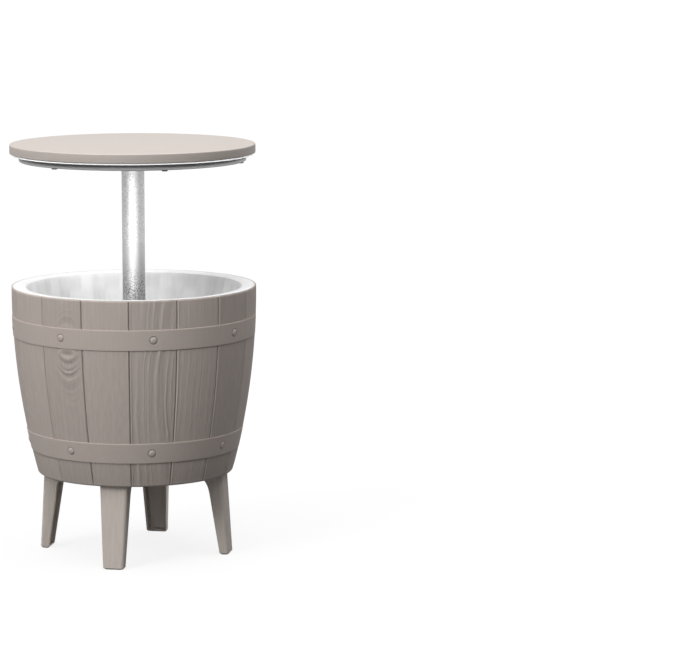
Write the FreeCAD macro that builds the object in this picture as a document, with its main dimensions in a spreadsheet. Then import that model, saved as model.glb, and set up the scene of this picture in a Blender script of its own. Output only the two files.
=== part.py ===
import FreeCAD, Part
import math
import os
import re

import Sketcher

# Cooler table with lid, in millimetres.
# The origin is on the floor under the middle of the barrel, +Z is up and the front leg is at -Y.
# The table top is modelled raised, which is its highest position on the post.

SIZES = [
    ("leg_height", 168, "floor to the underside of the barrel"),
    ("barrel_height", 380, "underside of the barrel to the rim of the tub"),
    ("rim_thickness", 2, "flange of the tub on the barrel's edge"),
    ("rim_inset", 0.5, "flange edge inside the barrel's outer face"),
    ("rim_width", 28.4, "flange of the tub, across"),
    ("rim_bevel", 0.8, "bevel at the mouth of the tub"),
    ("widest_radius", 246.9, "barrel radius where it is widest"),
    ("widest_drop", 6, "rim down to where the barrel is widest"),
    ("bulge_radius", 1450, "radius of the barrel's side in profile"),
    ("shell_wall", 3.5, "barrel wall where it is thinnest"),
    ("shell_floor", 4, "barrel floor"),
    ("base_round", 7, "rounding of the barrel's lower edge"),
    ("stave_count", 16, "staves round the barrel"),
    ("seam_width", 3, "width of the groove between two staves"),
    ("seam_depth", 1.8, "depth of the groove between two staves"),
    ("hoop_width", 41, "height of a hoop"),
    ("hoop_relief", 1.8, "hoop face outside the staves"),
    ("hoop_bevel", 0.8, "bevel of a hoop's edges"),
    ("lower_hoop_rise", 70.3, "underside of the barrel to the middle of the lower hoop"),
    ("upper_hoop_drop", 79.4, "rim down to the middle of the upper hoop"),
    ("rivet_radius", 6.5, "rivet head"),
    ("rivet_top", 4.6, "flat top of the rivet head"),
    ("rivet_rise", 2.8, "height of the rivet head"),
    ("rivet_edge", 0.6, "straight edge of the rivet head"),
    ("rivets_per_hoop", 8, "rivet heads on a hoop"),
    ("tub_wall", 3, "wall of the tub"),
    ("tub_floor", 3, "floor of the tub"),
    ("floor_space", 7, "barrel's floor to the underside of the tub"),
    ("side_space", 16.5, "barrel's wall to the tub at the floor"),
    ("tub_corner", 22, "rounding between the tub's wall and floor"),
    ("snap_depth", 8, "rib of the tub that snaps inside the barrel's edge"),
    ("snap_wall", 2, "thickness of that rib"),
    ("hub_margin", 4, "boss of the barrel's floor beyond the column's foot"),
    ("support_inset", 36, "edge of the tub's floor in to the ring that carries it"),
    ("support_wall", 4, "thickness of that ring"),
    ("leg_inset", 11.8, "barrel's lower edge in to the leg's outer face"),
    ("leg_top_depth", 33, "leg at the barrel, inwards"),
    ("leg_top_width", 58, "leg at the barrel, across"),
    ("leg_splay", 12, "leg's outer face at the floor beyond the same at the barrel"),
    ("leg_foot_depth", 19, "leg at the floor, inwards"),
    ("leg_foot_width", 43, "leg at the floor, across"),
    ("leg_wall", 4, "wall of the leg's channel"),
    ("leg_head", 22, "solid head of the leg"),
    ("leg_toe", 6, "solid toe of the leg"),
    ("leg_edge", 7, "rounding of the leg's outer edges"),
    ("leg_back_edge", 2, "rounding of the leg's inner edges"),
    ("foot_bevel", 3, "bevel round the foot"),
    ("leg_flare", 20, "flare of the leg under the barrel, inwards"),
    ("leg_flare_height", 38, "height of that flare"),
    ("leg_screw_spread", 30, "distance between a leg's two screws"),
    ("leg_screw_bite", 14, "depth of a screw in the leg"),
    ("mast_radius", 23, "outer radius of the post"),
    ("mast_wall", 1.6, "wall of the post"),
    ("running_gap", 0.3, "clearance between pieces that move on each other"),
    ("fit_gap", 0.15, "clearance between pieces fixed in each other"),
    ("seat_gap", 0.3, "clearance between pieces that come to rest on each other"),
    ("collar_wall", 2.7, "post's clearance to the bore of the guide column"),
    ("collar_reach", 30, "collar inside the column"),
    ("collar_flange", 3, "collar on top of the column"),
    ("collar_bevel", 1.5, "bevel of that flange"),
    ("column_wall", 4, "wall of the guide column"),
    ("column_drop", 36, "rim down to the top of the guide column"),
    ("column_flange", 18, "foot flange of the guide column beyond its wall"),
    ("column_foot", 5, "thickness of the foot flange"),
    ("column_foot_bevel", 3, "bevel between column and foot flange"),
    ("column_screw_count", 4, "screws in the column's foot"),
    ("column_screw_bite", 8, "depth of a column screw in the barrel's boss"),
    ("gasket", 2, "thickness of the column's gasket"),
    ("key_width", 6, "key groove in the column, across"),
    ("key_depth", 1.5, "key groove in the column, depth"),
    ("key_count", 2, "key grooves in the column"),
    ("glide_height", 30, "height of the split glide"),
    ("glide_slit", 3, "slit in the glide"),
    ("cone_inset", 4, "post's face in to the plug's cone at its top"),
    ("cone_taper", 4, "plug's cone narrower at its bottom"),
    ("plug_shoulder", 4, "shoulder of the plug under the post"),
    ("plug_insert", 30, "plug inside the post"),
    ("plug_bevel", 1.6, "bevel of the plug's upper end"),
    ("washer_inset", 2, "post's face in to the edge of the washer under the glide"),
    ("washer", 2.5, "thickness of that washer"),
    ("plug_screw_radius", 2.8, "shank of the plug's screw"),
    ("plug_screw_head", 6, "head radius of the plug's screw"),
    ("plug_screw_rise", 3.5, "head height of the plug's screw"),
    ("plug_screw_length", 22, "shank of the plug's screw above the washer"),
    ("sink_gap", 13.4, "tub's floor to the plug's screw with the lid closed"),
    ("top_overhang", 0.6, "table top beyond the barrel where it is widest"),
    ("top_plate", 4, "thickness of the table top"),
    ("top_round", 3.5, "rounding of the table top's edge"),
    ("skirt_height", 18, "table top's face to its lower edge"),
    ("skirt_wall", 3.5, "thickness of the skirt"),
    ("ring_height", 4, "edge of the lid cover seen under the skirt"),
    ("ring_bevel", 0.8, "bevel of that edge"),
    ("cover_overlap", 9, "lid cover inside the skirt"),
    ("cover_inset", 18.5, "table top's edge in to the lower part of the lid cover"),
    ("cover_depth", 12.5, "height of that lower part"),
    ("cover_wall", 3, "wall of the lid cover"),
    ("cover_bevel", 2, "bevel of the lid cover's lower edge"),
    ("cover_screw_inset", 39, "edge of that lower part in to its screws"),
    ("cover_screw_count", 6, "screws of the lid cover"),
    ("cover_screw_bite", 12, "depth of a lid cover screw in its boss"),
    ("boss_radius", 6.5, "screw bosses of the table top"),
    ("top_rib", 2.5, "thickness of the table top's ribs"),
    ("top_rib_drop", 10, "height of the table top's ribs"),
    ("hub_wall", 6, "hub on the post's upper end"),
    ("hub_space", 1.5, "lid cover's floor to the hub above it"),
    ("hub_bevel", 2, "bevel between the hub and its plate"),
    ("head_flange", 26, "plate at the post's upper end beyond the hub"),
    ("head_plate", 5, "thickness of that plate"),
    ("head_drop", 7, "bosses between the plate and the table top"),
    ("head_socket", 3, "post inside the plate"),
    ("head_screw_count", 6, "screws of the plate"),
    ("head_screw_bite", 8, "depth of a plate screw in its boss"),
    ("pin_radius", 2.5, "cross pin of the post's upper end"),
    ("pin_drop", 7, "plate's underside to the cross pin"),
    ("screw_radius", 2, "shank of the small screws"),
    ("screw_head", 4, "head radius of the small screws"),
    ("screw_rise", 2.5, "head height of the small screws"),
    ("pilot_spare", 0.8, "pilot holes beyond the screws' ends"),
    ("bumper_inset", 7, "edge of the lid cover's lower part in to the bumpers"),
    ("bumper_count", 6, "bumpers under the lid"),
    ("bumper_radius", 6, "bumper"),
    ("bumper_height", 2.2, "bumper under the lid cover"),
    ("bumper_bevel", 0.8, "bevel of a bumper"),
    ("bumper_stem", 1.8, "stem of a bumper in the lid cover"),
    ("bumper_bearing", 30, "angle of the first bumper from -Y towards +X"),
    ("drain_inset", 25.9, "support ring in to the middle of the drain"),
    ("drain_bore", 8, "bore of the drain"),
    ("drain_wall", 4, "wall of the drain fitting's tube"),
    ("drain_cone", 6, "depth of the drain's cone seat"),
    ("drain_cone_taper", 2.5, "cone seat wider than the bore"),
    ("drain_flange", 7, "flange of the drain fitting beyond its tube"),
    ("drain_flange_height", 2.5, "thickness of that flange"),
    ("drain_flange_bevel", 1, "bevel of that flange"),
    ("drain_gasket_height", 1.5, "gasket under that flange"),
    ("drain_reach", 14, "drain fitting below the barrel"),
    ("nut_height", 8, "drain nut"),
    ("seal_height", 1.5, "washer under the stopper's head"),
    ("seal_width", 3.5, "stopper's head beyond its cone"),
    ("stopper_head", 2, "thickness of that head"),
    ("stopper_bevel", 0.8, "bevel of that head"),
    ("grip_stem", 4, "radius of the stopper's stem"),
    ("grip_stem_height", 1.5, "height of that stem"),
    ("grip_radius", 8, "grip of the stopper"),
    ("grip_height", 2, "height of the grip"),
    ("grip_bevel", 0.8, "bevel of the grip"),
]

NAMES = {name for name, value, note in SIZES}
WORD = re.compile(r"[a-z_]+")

doc = FreeCAD.newDocument("CoolerTable")
sheet = doc.addObject("Spreadsheet::Sheet", "Sizes")
for row, (name, value, note) in enumerate(SIZES, start=1):
    sheet.set(f"A{row}", name)
    sheet.set(f"B{row}", str(value))
    sheet.set(f"C{row}", note)
    sheet.setAlias(f"B{row}", name)
doc.recompute()

# Heights that follow from the sizes, as expressions.
RIM = "(leg_height + barrel_height)"
WIDEST = f"({RIM} - widest_drop)"
SHELL_TOP = f"({RIM} - rim_thickness)"
SNAP_BOTTOM = f"({SHELL_TOP} - snap_depth)"
SHELL_FLOOR_TOP = "(leg_height + shell_floor)"
TUB_UNDERSIDE = f"({SHELL_FLOOR_TOP} + floor_space)"
TUB_FLOOR_TOP = f"({TUB_UNDERSIDE} + tub_floor)"
COLUMN_BOTTOM = f"({TUB_FLOOR_TOP} + gasket)"
COLUMN_FOOT_TOP = f"({COLUMN_BOTTOM} + column_foot)"
COLUMN_TOP = f"({RIM} - column_drop)"
COLLAR_BOTTOM = f"({COLUMN_TOP} - collar_reach)"
GLIDE_TOP = f"({COLLAR_BOTTOM} - seat_gap)"
GLIDE_BOTTOM = f"({GLIDE_TOP} - glide_height)"
CONE_TOP = f"({GLIDE_TOP} + running_gap)"
CONE_BOTTOM = f"({GLIDE_BOTTOM} - running_gap)"
WASHER_BOTTOM = f"({CONE_BOTTOM} - washer)"
MAST_BOTTOM = f"({CONE_TOP} + plug_shoulder)"
LIFT = f"({WASHER_BOTTOM} - plug_screw_rise - sink_gap - {TUB_FLOOR_TOP})"
COVER_BOTTOM = f"({RIM} + seat_gap + bumper_height + {LIFT})"
COVER_FLOOR_TOP = f"({COVER_BOTTOM} + cover_wall)"
RING_BOTTOM = f"({COVER_BOTTOM} + cover_depth)"
SKIRT_BOTTOM = f"({RING_BOTTOM} + ring_height)"
TABLE_FACE = f"({SKIRT_BOTTOM} + skirt_height)"
PLATE_UNDERSIDE = f"({TABLE_FACE} - top_plate)"
HEAD_TOP = f"({PLATE_UNDERSIDE} - head_drop)"
HEAD_UNDERSIDE = f"({HEAD_TOP} - head_plate)"
HUB_BOTTOM = f"({COVER_FLOOR_TOP} + hub_space)"
PIN_HEIGHT = f"({HEAD_UNDERSIDE} - pin_drop)"
DRAIN_FLANGE_BOTTOM = f"({TUB_FLOOR_TOP} + drain_gasket_height)"
DRAIN_FLANGE_TOP = f"({DRAIN_FLANGE_BOTTOM} + drain_flange_height)"
SEAL_BOTTOM = f"({DRAIN_FLANGE_TOP} + seat_gap)"
STOPPER_BOTTOM = f"({SEAL_BOTTOM} + seal_height)"


def side_radius(height):
    """Outer radius of the barrel at a height: its side is an arc in profile."""
    drop = f"({height} - {WIDEST})"
    return f"(widest_radius - bulge_radius + sqrt(bulge_radius ^ 2 - {drop} ^ 2))"


# Radii that follow from the sizes, as expressions.
RIM_EDGE = f"({side_radius(SHELL_TOP)} - rim_inset)"
MOUTH_RADIUS = f"({RIM_EDGE} - rim_width)"
TUB_FLOOR_RADIUS = f"({side_radius(SHELL_FLOOR_TOP)} - shell_wall - side_space - tub_wall)"
SUPPORT_RADIUS = f"({TUB_FLOOR_RADIUS} - support_inset)"
LEG_TOP_OUTER = f"({side_radius('leg_height')} - leg_inset)"
LEG_TOP_INNER = f"({LEG_TOP_OUTER} - leg_top_depth)"
LEG_FOOT_OUTER = f"({LEG_TOP_OUTER} + leg_splay)"
LEG_FOOT_INNER = f"({LEG_FOOT_OUTER} - leg_foot_depth)"
LEG_SCREW_PLACE = f"({LEG_TOP_OUTER} - leg_top_depth / 2)"
COLUMN_BORE = "(mast_radius + running_gap + collar_wall)"
COLUMN_RADIUS = f"({COLUMN_BORE} + column_wall)"
COLUMN_FOOT_RADIUS = f"({COLUMN_RADIUS} + column_flange)"
COLUMN_SCREW_PLACE = f"({COLUMN_RADIUS} + column_flange / 2)"
MAST_BORE = "(mast_radius - mast_wall)"
CONE_HIGH_RADIUS = "(mast_radius - cone_inset)"
CONE_LOW_RADIUS = f"({CONE_HIGH_RADIUS} - cone_taper)"
TOP_RADIUS = "(widest_radius + top_overhang)"
RING_RADIUS = f"({TOP_RADIUS} - skirt_wall - fit_gap)"
COVER_RADIUS = f"({TOP_RADIUS} - cover_inset)"
COVER_SCREW_PLACE = f"({COVER_RADIUS} - cover_screw_inset)"
BUMPER_PLACE = f"({COVER_RADIUS} - bumper_inset)"
HUB_RADIUS = "(mast_radius + hub_wall)"
HEAD_RADIUS = f"({HUB_RADIUS} + head_flange)"
HEAD_SCREW_PLACE = f"({HUB_RADIUS} + head_flange / 2)"
HOLE_RADIUS = "(screw_radius + fit_gap)"
DRAIN_PLACE = f"({SUPPORT_RADIUS} - support_wall - drain_inset)"
DRAIN_MOUTH = "(drain_bore + drain_cone_taper)"
DRAIN_TUBE = "(drain_bore + drain_wall)"
DRAIN_FLANGE_RADIUS = f"({DRAIN_TUBE} + drain_flange)"


def bound(expression):
    """The expression with every size read from the sheet."""
    def from_sheet(word):
        name = word.group()
        return f"Sizes.{name}" if name in NAMES else name
    return WORD.sub(from_sheet, str(expression))


def number(expression):
    return float(sheet.evalExpression(bound(expression)))


def new_body(name):
    body = doc.addObject("PartDesign::Body", name)
    body.Label = name
    return body


def origin_feature(body, role):
    return next(feature for feature in body.Origin.OriginFeatures if feature.Role == role)


def new_sketch(body, name, plane, x="0", y="0", z="0", turn=None):
    """A sketch on an origin plane, moved in its own axes and turned about the upright axis."""
    sketch = body.newObject("Sketcher::SketchObject", name)
    sketch.AttachmentSupport = [(origin_feature(body, plane), "")]
    sketch.MapMode = "FlatFace"
    upright = FreeCAD.Vector(0, 0, 1) if plane == "XY_Plane" else FreeCAD.Vector(0, 1, 0)
    turned = FreeCAD.Rotation(upright, number(turn) if turn else 0)
    base = FreeCAD.Vector(number(x), number(y), number(z))
    sketch.AttachmentOffset = FreeCAD.Placement(base, turned)
    for axis, place in (("x", x), ("y", y), ("z", z)):
        sketch.setExpression(f"AttachmentOffset.Base.{axis}", bound(place))
    if turn:
        sketch.setExpression("AttachmentOffset.Rotation.Angle", bound(turn))
    return sketch


def hold(sketch, kind, parts, expression):
    """A driving constraint whose value is bound to the sheet."""
    index = sketch.addConstraint(Sketcher.Constraint(kind, *parts, number(expression)))
    sketch.setExpression(f"Constraints[{index}]", bound(expression))


def place_point(sketch, shape, end, x, y):
    hold(sketch, "DistanceX", (-1, 1, shape, end), x)
    hold(sketch, "DistanceY", (-1, 1, shape, end), y)


def corner(x, y, round=None, bevel=None, arc=None):
    """A corner of an outline: round or bevel eases it, arc bends the edge that leaves it.

    A positive arc radius turns left along the way, a negative one turns right.
    """
    return {"x": x, "y": y, "round": round, "bevel": bevel, "arc": arc}


def left_of(direction):
    return FreeCAD.Vector(-direction.y, direction.x, 0)


def edge_geometry(start, end, radius):
    """Centre of an edge's arc, None for a straight one, and its directions at both ends."""
    along = (end - start).normalize()
    if radius is None:
        return None, along, along
    half = (end - start).Length / 2
    side = math.copysign(1, radius)
    reach = math.sqrt(radius ** 2 - half ** 2)
    centre = (start + end) / 2 + left_of(along) * side * reach
    leaving = -left_of(start - centre).normalize() * -side
    arriving = -left_of(end - centre).normalize() * -side
    return centre, leaving, arriving


def add_arc(sketch, centre, radius, start, end, leftward):
    """An arc and which of its ends the way enters and leaves by."""
    first, last = (start, end) if leftward else (end, start)
    angles = [math.atan2(point.y - centre.y, point.x - centre.x) for point in (first, last)]
    if angles[1] <= angles[0]:
        angles[1] += 2 * math.pi
    circle = Part.Circle(centre, FreeCAD.Vector(0, 0, 1), radius)
    shape = sketch.addGeometry(Part.ArcOfCircle(circle, *angles), False)
    return (shape, 1, 2) if leftward else (shape, 2, 1)


def draw_edge(sketch, edge, radius, start, end):
    """An edge between two points and which of its ends the way enters and leaves by."""
    if edge[0] is None:
        return sketch.addGeometry(Part.LineSegment(start, end), False), 1, 2
    return add_arc(sketch, edge[0], abs(radius), start, end, radius > 0)


def ease_ends(spot, place, arriving, leaving):
    """Where an eased corner begins and ends, and the signed angle of its turn."""
    turn = math.atan2(arriving.cross(leaving).z, arriving.dot(leaving))
    reach = number(spot["bevel"]) if spot["bevel"] else number(spot["round"]) * math.tan(abs(turn) / 2)
    return place - arriving * reach, place + leaving * reach, turn


def join_round(sketch, spot, before, after, entry, leave, turn, arriving):
    """The arc of a rounded corner, tangent to both edges."""
    radius = number(spot["round"])
    centre = entry + left_of(arriving) * math.copysign(radius, turn)
    ease = add_arc(sketch, centre, radius, entry, leave, turn > 0)
    sketch.addConstraint(Sketcher.Constraint("Tangent", before[0], before[2], ease[0], ease[1]))
    sketch.addConstraint(Sketcher.Constraint("Tangent", ease[0], ease[2], after[0], after[1]))
    hold(sketch, "Radius", (ease[0],), spot["round"])


def join_bevel(sketch, spot, before, after, entry, leave, point):
    """The straight edge of a bevelled corner, as far from the corner on both sides."""
    ease = sketch.addGeometry(Part.LineSegment(entry, leave), False)
    sketch.addConstraint(Sketcher.Constraint("Coincident", before[0], before[2], ease, 1))
    sketch.addConstraint(Sketcher.Constraint("Coincident", ease, 2, after[0], after[1]))
    hold(sketch, "Distance", (point, 1, ease, 1), spot["bevel"])
    hold(sketch, "Distance", (point, 1, ease, 2), spot["bevel"])


def join_eased(sketch, spot, place, before, after, ends, arriving):
    """An eased corner, held by the point where its two edges would meet."""
    point = sketch.addGeometry(Part.Point(place), True)
    if spot["bevel"]:
        join_bevel(sketch, spot, before, after, ends[0], ends[1], point)
    else:
        join_round(sketch, spot, before, after, *ends, arriving)
    sketch.addConstraint(Sketcher.Constraint("PointOnObject", point, 1, before[0]))
    sketch.addConstraint(Sketcher.Constraint("PointOnObject", point, 1, after[0]))
    place_point(sketch, point, 1, spot["x"], spot["y"])


def outline(sketch, corners, closed=True):
    """An outline through the corners, fully held by the sizes."""
    count = len(corners)
    spots = [FreeCAD.Vector(number(spot["x"]), number(spot["y"]), 0) for spot in corners]
    edges = []
    for index in range(count if closed else count - 1):
        bend = corners[index]["arc"]
        radius = number(bend) if bend else None
        edges.append(edge_geometry(spots[index], spots[(index + 1) % count], radius))
    eased = {}
    for index, spot in enumerate(corners):
        if spot["round"] or spot["bevel"]:
            eased[index] = ease_ends(spot, spots[index], edges[index - 1][2], edges[index][1])
    drawn = []
    for index, edge in enumerate(edges):
        after = (index + 1) % count
        start = eased[index][1] if index in eased else spots[index]
        end = eased[after][0] if after in eased else spots[after]
        bend = corners[index]["arc"]
        drawn.append(draw_edge(sketch, edge, number(bend) if bend else 0, start, end))
        if bend:
            hold(sketch, "Radius", (drawn[-1][0],), f"abs({bend})")
    for index, spot in enumerate(corners):
        last_open = not closed and index == count - 1
        shape, entry_end, exit_end = drawn[-1 if last_open else index]
        if index in eased:
            join_eased(sketch, spot, spots[index], drawn[index - 1], drawn[index], eased[index],
                       edges[index - 1][2])
            continue
        place_point(sketch, shape, exit_end if last_open else entry_end, spot["x"], spot["y"])
        if closed or 0 < index < count - 1:
            before = drawn[index - 1]
            link = Sketcher.Constraint("Coincident", before[0], before[2], shape, entry_end)
            sketch.addConstraint(link)


def circle(sketch, x, y, radius):
    centre = FreeCAD.Vector(number(x), number(y), 0)
    shape = Part.Circle(centre, FreeCAD.Vector(0, 0, 1), number(radius))
    index = sketch.addGeometry(shape, False)
    place_point(sketch, index, 3, x, y)
    hold(sketch, "Radius", (index,), radius)


def rectangle(sketch, left, right, low, high):
    outline(sketch, [corner(left, low), corner(right, low), corner(right, high), corner(left, high)])


def revolve(body, name, sketch, cut=False, axis="V_Axis"):
    kind = "PartDesign::Groove" if cut else "PartDesign::Revolution"
    feature = body.newObject(kind, name)
    feature.Profile = sketch
    feature.ReferenceAxis = (sketch, [axis])
    feature.Angle = 360
    return feature


def extrude(body, name, sketch, length, cut=False, symmetric=False, backwards=False):
    feature = body.newObject("PartDesign::Pocket" if cut else "PartDesign::Pad", name)
    feature.Profile = sketch
    feature.SideType = "Symmetric" if symmetric else "One side"
    feature.Reversed = backwards
    feature.setExpression("Length", bound(length))
    return feature


def loft(body, name, sections, cut=False):
    feature = body.newObject("PartDesign::SubtractiveLoft" if cut else "PartDesign::AdditiveLoft", name)
    feature.Profile = sections[0]
    feature.Sections = sections[1:]
    feature.Ruled = True
    return feature


def round_pattern(body, name, feature, count):
    """Copies of a feature evenly round the upright axis."""
    pattern = body.newObject("PartDesign::PolarPattern", name)
    pattern.Originals = [feature]
    pattern.Axis = (origin_feature(body, "Z_Axis"), [""])
    pattern.Angle = 360
    pattern.setExpression("Occurrences", bound(count))
    body.Tip = pattern
    return pattern


def turned_piece(name, corners, plane="XZ_Plane", shift="0"):
    """A piece turned about an upright axis, from its outline to the right of that axis."""
    body = new_body(name)
    sketch = new_sketch(body, f"{name}_outline", plane, x=shift)
    outline(sketch, corners)
    revolve(body, f"{name}_turned", sketch)
    return body


def screw_corners(seat, length, up=False, head="screw_head", rise="screw_rise", shank="screw_radius"):
    """Half outline of a screw whose head lies on a seat; up drives it upwards."""
    head_side, shank_side = ("-", "+") if up else ("+", "-")
    return [
        corner("0", f"{seat} {head_side} {rise}"),
        corner(head, f"{seat} {head_side} {rise}"),
        corner(head, seat),
        corner(shank, seat),
        corner(shank, f"{seat} {shank_side} {length}"),
        corner("0", f"{seat} {shank_side} {length}"),
    ]


def screw_circle(name, seat, length, circle_radius, count, turn, up=False):
    """Equal screws evenly round the upright axis."""
    body = new_body(name)
    sketch = new_sketch(body, f"{name}_outline", "XZ_Plane", x=circle_radius)
    outline(sketch, screw_corners(seat, length, up))
    one = revolve(body, f"{name}_screw", sketch)
    round_pattern(body, f"{name}_all", one, count)
    turn_body(body, turn)
    return body


def turn_body(body, angle):
    turned = FreeCAD.Rotation(FreeCAD.Vector(0, 0, 1), number(angle))
    body.Placement = FreeCAD.Placement(FreeCAD.Vector(), turned)
    body.setExpression("Placement.Rotation.Angle", bound(angle))


def drill_circle(body, name, radius, circle_radius, count, turn, top, depth):
    """Round holes downwards from a height, evenly round the upright axis."""
    sketch = new_sketch(body, f"{name}_place", "XY_Plane", z=top, turn=turn)
    circle(sketch, circle_radius, "0", radius)
    hole = extrude(body, f"{name}_hole", sketch, depth, cut=True)
    return round_pattern(body, f"{name}_all", hole, count)


def drill_drain(body, name, radius, top, depth):
    sketch = new_sketch(body, f"{name}_place", "XY_Plane", z=top)
    circle(sketch, "0", DRAIN_PLACE, radius)
    return extrude(body, f"{name}_hole", sketch, depth, cut=True)


COLUMN_TURN = "180 / column_screw_count"
HEAD_TURN = "180 / head_screw_count"
LEG_COUNT = 4
INNER_BANDS = 3


def make_barrel_shell():
    """Moulded outer barrel: turned wall, stave seams, hoops and rivet heads in one piece."""
    body = new_body("barrel_shell")
    wall = new_sketch(body, "shell_outline", "XZ_Plane")
    outline(wall, [
        corner("0", "leg_height"),
        corner(side_radius("leg_height"), "leg_height", round="base_round", arc="bulge_radius"),
        corner(side_radius(SHELL_TOP), SHELL_TOP),
        corner("0", SHELL_TOP),
    ])
    revolve(body, "shell_solid", wall)

    cavity = new_sketch(body, "shell_cavity_outline", "XZ_Plane")
    inner_face = []
    for band in range(INNER_BANDS + 1):
        height = f"({SHELL_FLOOR_TOP} + ({SNAP_BOTTOM} - {SHELL_FLOOR_TOP}) * {band} / {INNER_BANDS})"
        bevel = None if band else "base_round"
        inner_face.append(corner(f"{side_radius(height)} - shell_wall", height, bevel=bevel))
    spare_top = f"{SHELL_TOP} + shell_wall"
    outline(cavity, [corner("0", SHELL_FLOOR_TOP)] + inner_face + [
        corner(f"{side_radius(SHELL_TOP)} - shell_wall", SHELL_TOP),
        corner(f"{side_radius(SHELL_TOP)} - shell_wall", spare_top),
        corner("0", spare_top),
    ])
    revolve(body, "shell_cavity", cavity, cut=True)

    spare = "hoop_relief"
    seam_top = f"({SHELL_TOP} + {spare})"
    seam_bottom = f"(leg_height - {spare})"
    half_turn = "180 / stave_count"
    spine = new_sketch(body, "seam_path", "XZ_Plane", turn=half_turn)
    outline(spine, [
        corner(side_radius(seam_top), seam_top, arc="-bulge_radius"),
        corner(side_radius(seam_bottom), seam_bottom),
    ], closed=False)
    notch = new_sketch(body, "seam_notch", "XY_Plane", z=seam_top, turn=half_turn)
    edge = side_radius(seam_top)
    half_width = f"seam_width / 2 * (seam_depth + {spare}) / seam_depth"
    outline(notch, [
        corner(f"{edge} - seam_depth", "0"),
        corner(f"{edge} + {spare}", f"-({half_width})"),
        corner(f"{edge} + {spare}", half_width),
    ])
    seam = body.newObject("PartDesign::SubtractivePipe", "seam")
    seam.Profile = notch
    seam.Spine = spine
    round_pattern(body, "seams", seam, "stave_count")

    make_hoop(body, "lower_hoop", "(leg_height + lower_hoop_rise)")
    make_hoop(body, "upper_hoop", f"({RIM} - upper_hoop_drop)")

    boss = new_sketch(body, "hub_boss_outline", "XZ_Plane")
    low = f"{SHELL_FLOOR_TOP} - shell_floor / 2"
    rectangle(boss, "0", f"{COLUMN_FOOT_RADIUS} + hub_margin", low, TUB_UNDERSIDE)
    revolve(body, "hub_boss", boss)
    ring = new_sketch(body, "support_outline", "XZ_Plane")
    rectangle(ring, f"{SUPPORT_RADIUS} - support_wall", SUPPORT_RADIUS, low, TUB_UNDERSIDE)
    revolve(body, "support_ring", ring)

    depth = "column_screw_bite + pilot_spare"
    drill_circle(body, "column_pilots", HOLE_RADIUS, COLUMN_SCREW_PLACE, "column_screw_count",
                 COLUMN_TURN, TUB_UNDERSIDE, depth)
    screws = new_sketch(body, "leg_hole_places", "XY_Plane", z=SHELL_FLOOR_TOP)
    for side in ("-", ""):
        circle(screws, LEG_SCREW_PLACE, f"{side}leg_screw_spread / 2", HOLE_RADIUS)
    pair = extrude(body, "leg_hole_pair", screws, "shell_floor", cut=True)
    round_pattern(body, "leg_holes", pair, LEG_COUNT)
    drill_drain(body, "shell_drain", f"{DRAIN_TUBE} + fit_gap", SHELL_FLOOR_TOP, "shell_floor")
    return body


def make_hoop(body, name, height):
    """Raised band round the staves, with its rivet heads."""
    low = f"({height} - hoop_width / 2)"
    high = f"({height} + hoop_width / 2)"
    root = "(seam_depth + shell_wall) / 2"
    band = new_sketch(body, f"{name}_outline", "XZ_Plane")
    outline(band, [
        corner(f"{side_radius(low)} - {root}", low),
        corner(f"{side_radius(low)} + hoop_relief", low, bevel="hoop_bevel"),
        corner(f"{side_radius(high)} + hoop_relief", high, bevel="hoop_bevel"),
        corner(f"{side_radius(high)} - {root}", high),
    ])
    revolve(body, f"{name}_band", band)

    face = f"({side_radius(height)} + hoop_relief)"
    head = new_sketch(body, f"{name}_rivet_outline", "XZ_Plane", y=height, turn="360 / stave_count")
    outline(head, [
        corner(f"{face} - hoop_relief / 2", "0"),
        corner(f"{face} + rivet_rise", "0"),
        corner(f"{face} + rivet_rise", "rivet_top"),
        corner(f"{face} + rivet_edge", "rivet_radius"),
        corner(f"{face} - hoop_relief / 2", "rivet_radius"),
    ])
    rivet = revolve(body, f"{name}_rivet", head, axis="H_Axis")
    round_pattern(body, f"{name}_rivets", rivet, "rivets_per_hoop")


def make_tub_liner():
    """White inner tub, whose flange lies on the barrel's edge."""
    snap_top_radius = f"({side_radius(SHELL_TOP)} - shell_wall - fit_gap)"
    snap_low_radius = f"({side_radius(SNAP_BOTTOM)} - shell_wall - fit_gap)"
    body = turned_piece("tub_liner", [
        corner("0", TUB_UNDERSIDE),
        corner(f"{TUB_FLOOR_RADIUS} + tub_wall", TUB_UNDERSIDE, round="tub_corner + tub_wall"),
        corner(f"{MOUTH_RADIUS} + tub_wall", SHELL_TOP),
        corner(f"{snap_top_radius} - snap_wall", SHELL_TOP),
        corner(f"{snap_low_radius} - snap_wall", SNAP_BOTTOM),
        corner(snap_low_radius, SNAP_BOTTOM),
        corner(snap_top_radius, SHELL_TOP),
        corner(RIM_EDGE, SHELL_TOP),
        corner(RIM_EDGE, RIM),
        corner(MOUTH_RADIUS, RIM, bevel="rim_bevel"),
        corner(TUB_FLOOR_RADIUS, TUB_FLOOR_TOP, round="tub_corner"),
        corner("0", TUB_FLOOR_TOP),
    ])
    drill_circle(body, "liner_screws", HOLE_RADIUS, COLUMN_SCREW_PLACE, "column_screw_count",
                 COLUMN_TURN, TUB_FLOOR_TOP, "tub_floor")
    drill_drain(body, "liner_drain", f"{DRAIN_TUBE} + fit_gap", TUB_FLOOR_TOP, "tub_floor")
    return body


def leg_share(top, foot, height):
    """A leg size at a height, between its value at the foot and at the barrel."""
    return f"({foot} + ({top} - {foot}) * ({height}) / leg_height)"


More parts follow.
